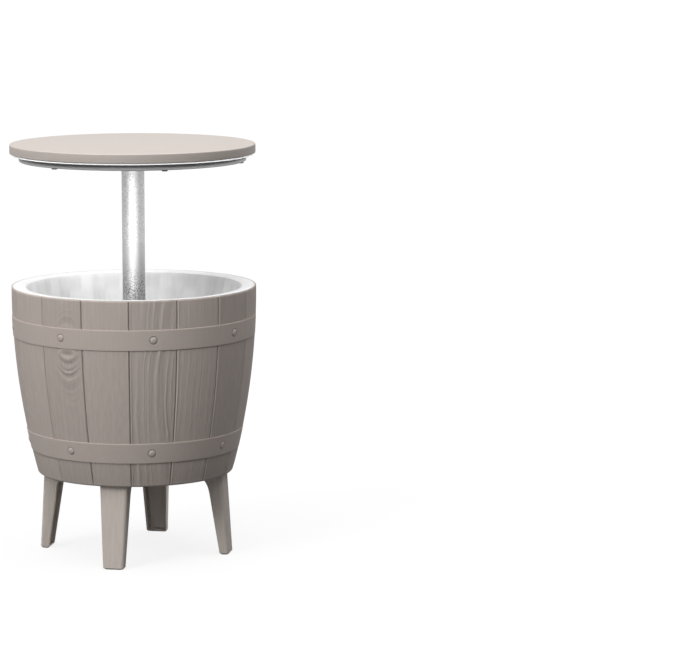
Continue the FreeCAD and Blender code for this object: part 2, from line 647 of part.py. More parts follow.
def leg_section(body, name, height, inset="0"):
    """Rounded section of a leg at a height, narrower by an inset all round."""
    inner = f"({leg_share(LEG_TOP_INNER, LEG_FOOT_INNER, height)} + {inset})"
    outer = f"({leg_share(LEG_TOP_OUTER, LEG_FOOT_OUTER, height)} - {inset})"
    half = f"({leg_share('leg_top_width', 'leg_foot_width', height)} / 2 - {inset})"
    section = new_sketch(body, name, "XY_Plane", z=height)
    outline(section, [
        corner(inner, f"-{half}", round="leg_back_edge"),
        corner(outer, f"-{half}", round="leg_edge"),
        corner(outer, half, round="leg_edge"),
        corner(inner, half, round="leg_back_edge"),
    ])
    return section


def channel_section(body, name, height):
    """Hollow of the leg's channel at a height, open towards the barrel's axis."""
    outer = f"({leg_share(LEG_TOP_OUTER, LEG_FOOT_OUTER, height)} - leg_wall)"
    half = f"({leg_share('leg_top_width', 'leg_foot_width', height)} / 2 - leg_wall)"
    section = new_sketch(body, name, "XY_Plane", z=height)
    rectangle(section, f"{LEG_TOP_INNER} / 2", outer, f"-{half}", half)
    return section


def make_leg(name, angle):
    """Tapered leg, a channel open inwards, splayed towards the floor."""
    body = new_body(name)
    sections = [
        leg_section(body, f"{name}_sole", "0", inset="foot_bevel"),
        leg_section(body, f"{name}_foot", "foot_bevel"),
        leg_section(body, f"{name}_top", "leg_height"),
    ]
    loft(body, f"{name}_post", sections)

    low = "(leg_height - leg_flare_height)"
    inner = leg_share(LEG_TOP_INNER, LEG_FOOT_INNER, low)
    flare = new_sketch(body, f"{name}_flare_outline", "XZ_Plane")
    outline(flare, [
        corner(inner, low, arc="leg_flare_height * 1.4"),
        corner(f"{LEG_TOP_INNER} - leg_flare", "leg_height"),
        corner(f"{inner} + leg_wall", "leg_height"),
        corner(f"{inner} + leg_wall", low),
    ])
    extrude(body, f"{name}_flare", flare, "leg_top_width - 2 * leg_back_edge", symmetric=True)

    hollow = [
        channel_section(body, f"{name}_channel_low", "leg_toe"),
        channel_section(body, f"{name}_channel_high", "leg_height - leg_head"),
    ]
    loft(body, f"{name}_channel", hollow, cut=True)

    pilots = new_sketch(body, f"{name}_pilot_places", "XY_Plane", z="leg_height")
    for side in ("-", ""):
        circle(pilots, LEG_SCREW_PLACE, f"{side}leg_screw_spread / 2", HOLE_RADIUS)
    extrude(body, f"{name}_pilots", pilots, "leg_screw_bite + pilot_spare", cut=True)
    turn_body(body, angle)
    return body


def make_leg_screws():
    """Two screws for each leg, driven down through the barrel's floor."""
    body = new_body("leg_screws")
    places = []
    for side, sign in (("left", "-"), ("right", "")):
        sketch = new_sketch(body, f"leg_screw_{side}_outline", "YZ_Plane",
                            x=f"{sign}leg_screw_spread / 2", z=LEG_SCREW_PLACE)
        outline(sketch, screw_corners(SHELL_FLOOR_TOP, "(shell_floor + leg_screw_bite)"))
        screw = revolve(body, f"leg_screw_{side}", sketch)
        places.append(screw)
    pattern = round_pattern(body, "leg_screws_all", places[0], LEG_COUNT)
    pattern.Originals = places
    return body


def make_guide_column():
    """Upright sleeve in the middle of the tub, grooved for the glide's keys."""
    body = turned_piece("guide_column", [
        corner(COLUMN_BORE, COLUMN_BOTTOM),
        corner(COLUMN_FOOT_RADIUS, COLUMN_BOTTOM),
        corner(COLUMN_FOOT_RADIUS, COLUMN_FOOT_TOP),
        corner(COLUMN_RADIUS, COLUMN_FOOT_TOP, bevel="column_foot_bevel"),
        corner(COLUMN_RADIUS, COLUMN_TOP),
        corner(COLUMN_BORE, COLUMN_TOP),
    ])
    groove = new_sketch(body, "key_groove_outline", "XY_Plane", z=COLUMN_TOP)
    half = "key_width / 2"
    rectangle(groove, f"{COLUMN_BORE} - key_depth", f"{COLUMN_BORE} + key_depth", f"-{half}", half)
    cut = extrude(body, "key_groove", groove, f"{COLUMN_TOP} - {COLUMN_BOTTOM}", cut=True)
    round_pattern(body, "key_grooves", cut, "key_count")
    drill_circle(body, "column_holes", HOLE_RADIUS, COLUMN_SCREW_PLACE, "column_screw_count",
                 COLUMN_TURN, COLUMN_FOOT_TOP, "column_foot")
    return body


def make_column_fixings():
    """Gasket under the column's foot and the screws through both."""
    gasket = turned_piece("column_gasket", [
        corner(COLUMN_BORE, TUB_FLOOR_TOP),
        corner(COLUMN_FOOT_RADIUS, TUB_FLOOR_TOP),
        corner(COLUMN_FOOT_RADIUS, COLUMN_BOTTOM),
        corner(COLUMN_BORE, COLUMN_BOTTOM),
    ])
    drill_circle(gasket, "gasket_holes", HOLE_RADIUS, COLUMN_SCREW_PLACE, "column_screw_count",
                 COLUMN_TURN, COLUMN_BOTTOM, "gasket")
    length = "(column_foot + gasket + tub_floor + column_screw_bite)"
    screw_circle("column_screws", COLUMN_FOOT_TOP, length, COLUMN_SCREW_PLACE,
                 "column_screw_count", COLUMN_TURN)


def make_column_collar():
    """Guide bush pressed into the column's mouth, upper stop of the glide."""
    sleeve = f"({COLUMN_BORE} - fit_gap)"
    return turned_piece("column_collar", [
        corner("mast_radius + running_gap", COLLAR_BOTTOM),
        corner(sleeve, COLLAR_BOTTOM),
        corner(sleeve, COLUMN_TOP),
        corner(COLUMN_RADIUS, COLUMN_TOP),
        corner(COLUMN_RADIUS, f"{COLUMN_TOP} + collar_flange", bevel="collar_bevel"),
        corner("mast_radius + running_gap", f"{COLUMN_TOP} + collar_flange"),
    ])


def make_lock_glide():
    """Split sleeve with keys and a cone bore, which the plug's cone spreads in the column."""
    sleeve = f"({COLUMN_BORE} - running_gap)"
    body = turned_piece("lock_glide", [
        corner(f"{CONE_LOW_RADIUS} + running_gap", GLIDE_BOTTOM),
        corner(sleeve, GLIDE_BOTTOM),
        corner(sleeve, GLIDE_TOP),
        corner(f"{CONE_HIGH_RADIUS} + running_gap", GLIDE_TOP),
    ])
    key = new_sketch(body, "glide_key_outline", "XY_Plane", z=GLIDE_BOTTOM)
    half = "(key_width / 2 - running_gap)"
    key_face = f"{COLUMN_BORE} + key_depth - running_gap"
    rectangle(key, f"{sleeve} - key_depth", key_face, f"-{half}", half)
    one = extrude(body, "glide_key", key, "glide_height")
    round_pattern(body, "glide_keys", one, "key_count")
    slit = new_sketch(body, "glide_slit_outline", "XY_Plane", z=GLIDE_TOP)
    rectangle(slit, "-glide_slit / 2", "glide_slit / 2", "0", COLUMN_BORE)
    extrude(body, "glide_slit", slit, "glide_height", cut=True)
    return body


def make_mast():
    """Post, the cone plug in its lower end and what holds the glide on the cone."""
    tube = turned_piece("mast_tube", [
        corner(MAST_BORE, MAST_BOTTOM),
        corner("mast_radius", MAST_BOTTOM),
        corner("mast_radius", f"{HEAD_UNDERSIDE} + head_socket"),
        corner(MAST_BORE, f"{HEAD_UNDERSIDE} + head_socket"),
    ])
    cross_hole(tube, "mast_tube", "mast_radius")

    insert = f"({MAST_BORE} - fit_gap)"
    screw_hole = "(plug_screw_radius + fit_gap)"
    hole_top = f"({CONE_BOTTOM} + plug_screw_length + pilot_spare)"
    turned_piece("mast_plug", [
        corner(screw_hole, CONE_BOTTOM),
        corner(CONE_LOW_RADIUS, CONE_BOTTOM),
        corner(CONE_HIGH_RADIUS, CONE_TOP),
        corner("mast_radius", CONE_TOP),
        corner("mast_radius", MAST_BOTTOM),
        corner(insert, MAST_BOTTOM),
        corner(insert, f"{MAST_BOTTOM} + plug_insert", bevel="plug_bevel"),
        corner("0", f"{MAST_BOTTOM} + plug_insert"),
        corner("0", hole_top),
        corner(screw_hole, hole_top),
    ])
    turned_piece("glide_washer", [
        corner(screw_hole, WASHER_BOTTOM),
        corner("mast_radius - washer_inset", WASHER_BOTTOM),
        corner("mast_radius - washer_inset", CONE_BOTTOM),
        corner(screw_hole, CONE_BOTTOM),
    ])
    length = "(washer + plug_screw_length)"
    turned_piece("plug_screw", screw_corners(WASHER_BOTTOM, length, up=True, head="plug_screw_head",
                                             rise="plug_screw_rise", shank="plug_screw_radius"))


def cross_hole(body, name, reach):
    """Hole for the cross pin, right through along X."""
    sketch = new_sketch(body, f"{name}_pin_place", "YZ_Plane")
    circle(sketch, "0", PIN_HEIGHT, "pin_radius + fit_gap")
    return extrude(body, f"{name}_pin_hole", sketch, f"2 * ({reach} + fit_gap)", cut=True, symmetric=True)


def make_mast_head():
    """Plate and hub on the post's upper end, its cross pin and its screws."""
    socket = "(mast_radius + fit_gap)"
    socket_top = f"({HEAD_UNDERSIDE} + head_socket)"
    body = turned_piece("mast_flange", [
        corner(socket, HUB_BOTTOM),
        corner(HUB_RADIUS, HUB_BOTTOM),
        corner(HUB_RADIUS, HEAD_UNDERSIDE, bevel="hub_bevel"),
        corner(HEAD_RADIUS, HEAD_UNDERSIDE),
        corner(HEAD_RADIUS, HEAD_TOP),
        corner("0", HEAD_TOP),
        corner("0", socket_top),
        corner(socket, socket_top),
    ])
    cross_hole(body, "mast_flange", HUB_RADIUS)
    drill_circle(body, "flange_holes", HOLE_RADIUS, HEAD_SCREW_PLACE, "head_screw_count",
                 HEAD_TURN, HEAD_TOP, "head_plate")

    pin = new_body("mast_pin")
    section = new_sketch(pin, "mast_pin_section", "YZ_Plane")
    circle(section, "0", PIN_HEIGHT, "pin_radius")
    extrude(pin, "mast_pin_rod", section, f"2 * {HUB_RADIUS}", symmetric=True)

    length = "(head_plate + head_screw_bite)"
    screw_circle("flange_screws", HEAD_UNDERSIDE, length, HEAD_SCREW_PLACE,
                 "head_screw_count", HEAD_TURN, up=True)


def make_table_top():
    """Round top with its skirt, ribs and screw bosses in one moulding."""
    inner = f"({TOP_RADIUS} - skirt_wall)"
    body = turned_piece("table_top", [
        corner("0", PLATE_UNDERSIDE),
        corner(inner, PLATE_UNDERSIDE),
        corner(inner, SKIRT_BOTTOM),
        corner(TOP_RADIUS, SKIRT_BOTTOM),
        corner(TOP_RADIUS, TABLE_FACE, round="top_round"),
        corner("0", TABLE_FACE),
    ])
    anchor = f"({PLATE_UNDERSIDE} + top_plate / 2)"
    rib = new_sketch(body, "top_rib_outline", "XY_Plane", z=anchor)
    outer = f"{inner} - cover_wall - top_rib"
    rectangle(rib, f"{HEAD_RADIUS} + top_rib", outer, "-top_rib / 2", "top_rib / 2")
    one = extrude(body, "top_rib_web", rib, "top_rib_drop + top_plate / 2", backwards=True)
    round_pattern(body, "top_ribs", one, "cover_screw_count")

    post = new_sketch(body, "cover_boss_place", "XY_Plane", z=anchor)
    circle(post, COVER_SCREW_PLACE, "0", "boss_radius")
    boss = extrude(body, "cover_boss", post, f"{anchor} - {COVER_FLOOR_TOP}", backwards=True)
    round_pattern(body, "cover_bosses", boss, "cover_screw_count")
    foot = new_sketch(body, "head_boss_place", "XY_Plane", z=anchor, turn=HEAD_TURN)
    circle(foot, HEAD_SCREW_PLACE, "0", "boss_radius")
    boss = extrude(body, "head_boss", foot, f"{anchor} - {HEAD_TOP}", backwards=True)
    round_pattern(body, "head_bosses", boss, "head_screw_count")

    cover_depth = "cover_screw_bite + pilot_spare"
    top = f"({COVER_FLOOR_TOP} + {cover_depth})"
    drill_circle(body, "cover_pilots", HOLE_RADIUS, COVER_SCREW_PLACE, "cover_screw_count", "0",
                 top, cover_depth)
    head_depth = "head_screw_bite + pilot_spare"
    top = f"({HEAD_TOP} + {head_depth})"
    drill_circle(body, "head_pilots", HOLE_RADIUS, HEAD_SCREW_PLACE, "head_screw_count", HEAD_TURN,
                 top, head_depth)
    return body


BUMPER_TURN = "(bumper_bearing - 90)"


def make_lid_cover():
    """White stepped cover that nests in the skirt and closes the tub."""
    wall_top = f"({SKIRT_BOTTOM} + cover_overlap)"
    step_top = f"({RING_BOTTOM} + cover_wall)"
    body = turned_piece("lid_cover", [
        corner("mast_radius + seat_gap", COVER_BOTTOM),
        corner(COVER_RADIUS, COVER_BOTTOM, bevel="cover_bevel"),
        corner(COVER_RADIUS, RING_BOTTOM),
        corner(RING_RADIUS, RING_BOTTOM, bevel="ring_bevel"),
        corner(RING_RADIUS, wall_top),
        corner(f"{RING_RADIUS} - cover_wall", wall_top),
        corner(f"{RING_RADIUS} - cover_wall", step_top),
        corner(f"{COVER_RADIUS} - cover_wall", step_top),
        corner(f"{COVER_RADIUS} - cover_wall", COVER_FLOOR_TOP),
        corner("mast_radius + seat_gap", COVER_FLOOR_TOP),
    ])
    drill_circle(body, "cover_holes", HOLE_RADIUS, COVER_SCREW_PLACE, "cover_screw_count", "0",
                 COVER_FLOOR_TOP, "cover_wall")
    drill_circle(body, "bumper_holes", "bumper_stem + fit_gap", BUMPER_PLACE, "bumper_count",
                 BUMPER_TURN, COVER_FLOOR_TOP, "cover_wall")
    length = "(cover_wall + cover_screw_bite)"
    screw_circle("cover_screws", COVER_BOTTOM, length, COVER_SCREW_PLACE, "cover_screw_count", "0",
                 up=True)
    return body


def make_lid_bumpers():
    """Soft buttons under the lid cover, on which the closed lid rests."""
    body = new_body("lid_bumpers")
    sketch = new_sketch(body, "bumper_outline", "XZ_Plane", x=BUMPER_PLACE)
    low = f"({COVER_BOTTOM} - bumper_height)"
    outline(sketch, [
        corner("0", low),
        corner("bumper_radius", low, bevel="bumper_bevel"),
        corner("bumper_radius", COVER_BOTTOM),
        corner("bumper_stem", COVER_BOTTOM),
        corner("bumper_stem", COVER_FLOOR_TOP),
        corner("0", COVER_FLOOR_TOP),
    ])
    one = revolve(body, "bumper", sketch)
    round_pattern(body, "bumpers", one, "bumper_count")
    turn_body(body, BUMPER_TURN)
    return body


def make_drain():
    """Fitting through both floors, its gasket and its nut."""
    tube_bottom = "(leg_height - drain_reach)"
    seat_depth = f"({DRAIN_FLANGE_TOP} - drain_cone)"
    place = {"plane": "YZ_Plane", "shift": DRAIN_PLACE}
    turned_piece("drain_fitting", [
        corner("drain_bore", tube_bottom),
        corner(DRAIN_TUBE, tube_bottom),
        corner(DRAIN_TUBE, DRAIN_FLANGE_BOTTOM),
        corner(DRAIN_FLANGE_RADIUS, DRAIN_FLANGE_BOTTOM),
        corner(DRAIN_FLANGE_RADIUS, DRAIN_FLANGE_TOP, bevel="drain_flange_bevel"),
        corner(DRAIN_MOUTH, DRAIN_FLANGE_TOP),
        corner("drain_bore", seat_depth),
    ], **place)
    turned_piece("drain_gasket", [
        corner(f"{DRAIN_TUBE} + fit_gap", TUB_FLOOR_TOP),
        corner(DRAIN_FLANGE_RADIUS, TUB_FLOOR_TOP),
        corner(DRAIN_FLANGE_RADIUS, DRAIN_FLANGE_BOTTOM),
        corner(f"{DRAIN_TUBE} + fit_gap", DRAIN_FLANGE_BOTTOM),
    ], **place)

    nut = new_body("drain_nut")
    section = new_sketch(nut, "drain_nut_section", "XY_Plane", z="leg_height - nut_height")
    outline(section, [
        corner(f"{DRAIN_FLANGE_RADIUS} * cos({60 * side} deg)",
               f"{DRAIN_PLACE} + {DRAIN_FLANGE_RADIUS} * sin({60 * side} deg)")
        for side in range(6)
    ])
    circle(section, "0", DRAIN_PLACE, f"{DRAIN_TUBE} + fit_gap")
    extrude(nut, "drain_nut_block", section, "nut_height")


def make_drain_plug():
    """Stopper with a low grip, and the soft washer under its head."""
    place = {"plane": "YZ_Plane", "shift": DRAIN_PLACE}
    cone_top = f"({DRAIN_MOUTH} - running_gap)"
    head_radius = f"({cone_top} + seal_width)"
    cone_bottom = "(drain_bore - running_gap)"
    cone_low = f"({DRAIN_FLANGE_TOP} - drain_cone)"
    head_top = f"({STOPPER_BOTTOM} + stopper_head)"
    grip_low = f"({head_top} + grip_stem_height)"
    grip_top = f"({grip_low} + grip_height)"
    turned_piece("drain_plug", [
        corner("0", cone_low),
        corner(cone_bottom, cone_low),
        corner(cone_top, DRAIN_FLANGE_TOP),
        corner(cone_top, STOPPER_BOTTOM),
        corner(head_radius, STOPPER_BOTTOM),
        corner(head_radius, head_top, bevel="stopper_bevel"),
        corner("grip_stem", head_top),
        corner("grip_stem", grip_low),
        corner("grip_radius", grip_low),
        corner("grip_radius", grip_top, bevel="grip_bevel"),
        corner("0", grip_top),
    ], **place)
    turned_piece("plug_seal", [
        corner(f"{cone_top} + fit_gap", SEAL_BOTTOM),
        corner(head_radius, SEAL_BOTTOM),
        corner(head_radius, STOPPER_BOTTOM),
        corner(f"{cone_top} + fit_gap", STOPPER_BOTTOM),
    ], **place)


CUTS = ("PartDesign::Groove", "PartDesign::Pocket", "PartDesign::SubtractivePipe",
        "PartDesign::SubtractiveLoft")


def check_model():
    """Stop on a failed object, a loose sketch, an empty cut or an invalid shape."""
    for item in doc.Objects:
        if "Invalid" in item.State or "Error" in item.State:
            raise RuntimeError(f"{item.Name} failed: {item.State}")
        if item.TypeId == "Sketcher::SketchObject" and not item.FullyConstrained:
            raise RuntimeError(f"{item.Name} is not fully held")
        if item.TypeId in CUTS and item.Shape.Volume >= item.BaseFeature.Shape.Volume:
            raise RuntimeError(f"{item.Name} cuts nothing")
    for body in doc.findObjects("PartDesign::Body"):
        if body.Shape.isNull() or not body.Shape.isValid():
            raise RuntimeError(f"{body.Label} has no valid shape")


def write_parts():
    os.makedirs("parts", exist_ok=True)
    for body in doc.findObjects("PartDesign::Body"):
        body.Shape.exportStep(os.path.join("parts", f"{body.Label}.step"))


make_barrel_shell()
make_tub_liner()
for index, side in enumerate(("right", "back", "left", "front")):
    make_leg(f"{side}_leg", f"{index} * 360 / {LEG_COUNT}")
make_leg_screws()
make_guide_column()
make_column_fixings()
make_column_collar()
make_lock_glide()
make_mast()
make_mast_head()
make_table_top()
make_lid_cover()
make_lid_bumpers()
make_drain()
make_drain_plug()
doc.recompute()
check_model()
write_parts()
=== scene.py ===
import math

import bmesh
import bpy
import numpy as np
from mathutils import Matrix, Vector


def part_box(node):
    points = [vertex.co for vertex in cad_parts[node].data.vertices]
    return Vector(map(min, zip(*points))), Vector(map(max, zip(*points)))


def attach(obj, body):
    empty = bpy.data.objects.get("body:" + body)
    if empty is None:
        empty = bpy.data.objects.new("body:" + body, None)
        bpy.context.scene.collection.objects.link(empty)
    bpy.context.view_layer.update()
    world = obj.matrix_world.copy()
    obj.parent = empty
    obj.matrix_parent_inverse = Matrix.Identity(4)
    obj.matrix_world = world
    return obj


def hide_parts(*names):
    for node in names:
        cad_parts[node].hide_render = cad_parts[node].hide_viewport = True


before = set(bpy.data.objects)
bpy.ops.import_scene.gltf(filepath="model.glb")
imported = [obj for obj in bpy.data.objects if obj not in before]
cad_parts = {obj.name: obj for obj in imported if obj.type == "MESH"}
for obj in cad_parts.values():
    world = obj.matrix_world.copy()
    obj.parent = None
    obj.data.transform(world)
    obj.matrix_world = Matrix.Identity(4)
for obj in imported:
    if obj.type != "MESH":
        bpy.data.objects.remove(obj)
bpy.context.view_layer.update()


# The barrel's staves: the outer skin of the moulded shell, taupe resin with embossed wood grain.
# Sixteen staves are parted by V seams, and the skin turns in under the barrel round a soft edge.
# Lengths are in metres, apart from those of the grain. Within a radius the underside is plain, and
# evenly darkened with the foot's painted shade.
SHELL_LOW, SHELL_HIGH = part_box("barrel_shell")
BARREL_BOTTOM, BARREL_TOP = SHELL_LOW.z, SHELL_HIGH.z
BARREL_RIM_INNER = 0.2434
RIM_COVER = 0.0019
BULGE_RADIUS = 1.450
WIDEST_HEIGHT = 0.542
WIDEST_RADIUS = 0.2469
BASE_ROUND = 0.005
UNDER_RADII = (0.0, 0.09, 0.175)
UNDER_PLAIN = 0.18
HOOP_HALF = 0.0205
HOOP_HEIGHTS = (0.2383, 0.4686)
STAVE_COUNT = 16
STAVE_TURN = 2 * math.pi / STAVE_COUNT
BARREL_TAUPE = (0.560, 0.487, 0.443)

# Rows of the skin: round the lower edge, under the lower hoop, between the hoops up to the arches'
# height, from there to the upper hoop, and over it.
EDGE_ROWS, LOWER_ROWS, MIDDLE_ROWS, ARCH_ROWS, UPPER_ROWS = 6, 9, 29, 34, 15
ARCHES_LOW = 0.368

# A seam and the lip along one side of it. The seam is as wide as stated at its own radius, its
# columns stand at shares of its half-width, and a slope over one gives its V a flat bottom.
SEAM_HALF = 0.0017
SEAM_DEPTH = 0.0026
SEAM_RADIUS = 0.235
SEAM_SLOPE = 1.5
SEAM_COLUMNS = (0, 0.35, 0.65, 0.95, 1.1, 1.35, 1.6, 1.85)
BOARD_START = 2.1
LIP_RISE = 0.0009
LIP_PLACE = 0.0031
LIP_WIDTH = 0.0012

# The grain's relief starts beside the seam, and fades to a small share round the lower edge.
GRAIN_START = 0.0018
GRAIN_EASE = 0.003
FOOT_START = 0.001
FOOT_EASE = 0.012
FOOT_SHARE = 0.12

# Shares of darkening: painted shade deep in the seams, a painted shadow on the row under each hoop,
# painted shade towards the foot below a height, each stave's own tone, and in the grain's hollows,
# which darken with their depth in metres, partly grain tone and partly painted shade.
SEAM_PAINTED_SHADE = 0.7
HOOP_PAINTED_SHADOW = 0.3
ROW_TOLERANCE = 1e-4
FOOT_PAINTED_SHADE = 0.16
FOOT_PAINTED_SHADE_TOP = 0.250
FOOT_PAINTED_SHADE_FADE = 0.07
STAVE_SHADE = 0.03
STAVE_STEP = 2.6
HOLLOW_TONE_AND_PAINTED_SHADE = 0.3
HOLLOW_START = 0.05
HOLLOW_GROWTH = 400

# Grain of a stave: columns of its mesh, where its pith lies beside the middle, spacing, rise and
# half-width of its rings, the heights where they close into arches, how fast the pith sinks away
# from those, the depth past which the rings fade, and how much of the hollows' darkening, partly
# grain tone and partly painted shade, it gets.
# Lengths are in millimetres.
GRAIN = {
    "plain": dict(columns=36, pith=70, spacing=6.0, rise=0.15, width=1.2,
                  arches=(300,), slope=0.05, reach=90, hollow_tone_and_shade_share=0.3),
    "fine": dict(columns=44, pith=-62, spacing=8.6, rise=0.62, width=1.7,
                 arches=(240, 470), slope=0.07, reach=90, hollow_tone_and_shade_share=0.3),
    "ridged": dict(columns=74, pith=74, spacing=14.5, rise=1.25, width=1.7,
                   arches=(350,), slope=0.22, reach=120, hollow_tone_and_shade_share=0.75),
    "arched": dict(columns=62, pith=15, spacing=16.5, rise=2.9, width=3.0,
                   arches=(438,), slope=1.0, reach=74, hollow_tone_and_shade_share=1),
}
STAVE_GRAIN = ("fine", "ridged", "fine", "plain", "fine", "arched", "fine", "ridged",
               "plain", "fine", "arched", "fine", "ridged", "plain", "fine", "arched")
FINE_SHARE = 0.4

# Rings of an arched board: the bow of their parabolas per millimetre, and the way across, in
# millimetres, past which they fade.
ARCH_BOW = 0.026
ARCH_REACH = 21

# Every ring: how uneven the spacing is and how far the sine of that turns per ring, its mean
# strength and how much that changes from ring to ring and along a length in millimetres, and the
# share of its rise that lies under the board's face.
RING_UNEVENNESS = 0.3
UNEVEN_STEP = 1.9
RING_STRENGTH = 0.58
RING_CHANGE = 0.42
RING_STEP = 2.4
RING_LENGTH = 83
RING_SUNK = 0.4

# Sines of a swaying line: size and length in millimetres, and how far the seed turns each. The
# pith takes a share of it, and a smaller one of a shorter ripple that also runs across the board.
SWAYS = ((4.2, 250, 1.7), (1.6, 96, 2.9), (0.6, 43, 4.3), (0.25, 23, 5.9))
SWAY_SHARE = 0.3
RIPPLE_SHARE = 0.15
RIPPLE_ALONG = 1.7
RIPPLE_ACROSS = 3

# One stave stands a little prouder of its neighbour and is darker than the rest: painted shade for
# the darker band where the light falls off on that side of the barrel.
PROUD_STAVE = 3
PROUD_LIP = 1.35
PROUD_PAINTED_SHADE = 0.08


def side_radius(height):
    """Barrel's outer radius at a height: an arc of the bulge radius, widest near the rim."""
    return WIDEST_RADIUS - BULGE_RADIUS + np.sqrt(BULGE_RADIUS ** 2 - (height - WIDEST_HEIGHT) ** 2)


def sway(height, seed):
    """A wandering line in mm along a height in mm: a sum of sines, with phases from the seed."""
    return sum(size * np.sin(height * 2 * np.pi / length + seed * turn) for size, length, turn in SWAYS)


def grain_relief(across, height, kind, seed):
    """Embossed grain in mm: rings round a pith that sinks under the board and sways along it.

    A ring's number is the distance to the pith over the spacing, and that distance is the root of
    the squares of the way across and the depth, which grows away from the arches' heights.
    In an arched board it is the depth plus the bow times the way across squared: nested parabolas.
    A slow sine of its number makes the spacing uneven.
    Each ring is a narrow bell curve, partly sunk in the board, of its own strength.
    """
    grain = GRAIN[kind]
    depth = np.min([np.abs(height - arch) for arch in grain["arches"]], axis=0) * grain["slope"]
    ripple = sway(height * RIPPLE_ALONG + across * RIPPLE_ACROSS, seed + 3)
    wander = SWAY_SHARE * sway(height, seed) + RIPPLE_SHARE * ripple
    away = across - grain["pith"] - wander
    arched = kind == "arched"
    ring = (ARCH_BOW * away ** 2 + depth if arched else np.hypot(away, depth)) / grain["spacing"]
    ring = ring + RING_UNEVENNESS * np.sin(ring * UNEVEN_STEP + seed)
    number = np.floor(ring)
    change = np.sin(number * RING_STEP + seed) * np.cos(height / RING_LENGTH + number)
    bell = np.exp(-((ring % 1 - 0.5) * grain["spacing"] / grain["width"]) ** 2)
    fade = np.exp(-(depth / grain["reach"]) ** 2 - (away / ARCH_REACH) ** 2 * arched)
    return grain["rise"] * (RING_STRENGTH + RING_CHANGE * change) * (bell - RING_SUNK) * fade


def surface(name, points, around=True, shade=0.0):
    """A mesh of quads over rows and columns of points, with how much each point is darkened.

    Around joins the last column to the first.
    """
    rows, columns = points.shape[:2]
    index = np.arange(rows * columns).reshape(rows, columns)
    left, right = (index, np.roll(index, -1, axis=1)) if around else (index[:, :-1], index[:, 1:])
    quads = np.stack([left[:-1], right[:-1], right[1:], left[1:]], axis=-1).reshape(-1, 4)
    mesh = bpy.data.meshes.new(name)
    mesh.from_pydata(points.reshape(-1, 3), [], quads)
    darkness = mesh.attributes.new("shade", "FLOAT", "POINT")
    darkness.data.foreach_set("value", np.broadcast_to(shade, (rows, columns)).astype(np.float32).ravel())
    welded = bmesh.new()
    welded.from_mesh(mesh)
    bmesh.ops.remove_doubles(welded, verts=welded.verts, dist=1e-6)
    welded.to_mesh(mesh)
    welded.free()
    mesh.shade_smooth()
    piece = bpy.data.objects.new(name, mesh)
    bpy.context.scene.collection.objects.link(piece)
    return piece


def turned_points(radius, height, angle):
    """Points of a turned surface: radius along the angle from the upright axis, at each height."""
    radius, height, angle = np.broadcast_arrays(radius, height, angle)
    return np.stack([radius * np.cos(angle), radius * np.sin(angle), height], axis=-1)


def stave_angles(kind):
    """Bearings of the columns of one stave from its seam: close together at the seam's two edges."""
    seam = SEAM_HALF / SEAM_RADIUS
    edge = np.array(SEAM_COLUMNS) * seam
    board = np.linspace(BOARD_START * seam, STAVE_TURN - BOARD_START * seam, GRAIN[kind]["columns"])
    return np.concatenate([edge, board, STAVE_TURN - edge[:0:-1]])


def skin_profile():
    """Rows of the skin from under the barrel's middle up to its rim: radius, height, and the shares
    of the outward and downward ways in which relief stands off it."""
    foot = side_radius(BARREL_BOTTOM + BASE_ROUND) - BASE_ROUND
    under = np.array(UNDER_RADII)
    turn = np.linspace(-np.pi / 2, 0, EDGE_ROWS)
    lower = np.linspace(BARREL_BOTTOM + BASE_ROUND, HOOP_HEIGHTS[0] - HOOP_HALF, LOWER_ROWS)[1:]
    middle = np.linspace(HOOP_HEIGHTS[0] + HOOP_HALF, ARCHES_LOW, MIDDLE_ROWS)[:-1]
    arches = np.linspace(ARCHES_LOW, HOOP_HEIGHTS[1] - HOOP_HALF, ARCH_ROWS)
    upper = np.linspace(HOOP_HEIGHTS[1] + HOOP_HALF, BARREL_TOP + RIM_COVER, UPPER_ROWS)
    wall = np.concatenate([lower, middle, arches, upper])
    radius = np.concatenate([under, foot + BASE_ROUND * np.cos(turn), side_radius(wall)])
    height = np.concatenate([np.full(under.size, BARREL_BOTTOM),
                             BARREL_BOTTOM + BASE_ROUND * (1 + np.sin(turn)), wall])
    outward = np.concatenate([np.zeros(under.size), np.cos(turn), np.ones(wall.size)])
    downward = np.concatenate([np.ones(under.size), -np.sin(turn), np.zeros(wall.size)])
    return radius, height, outward, downward


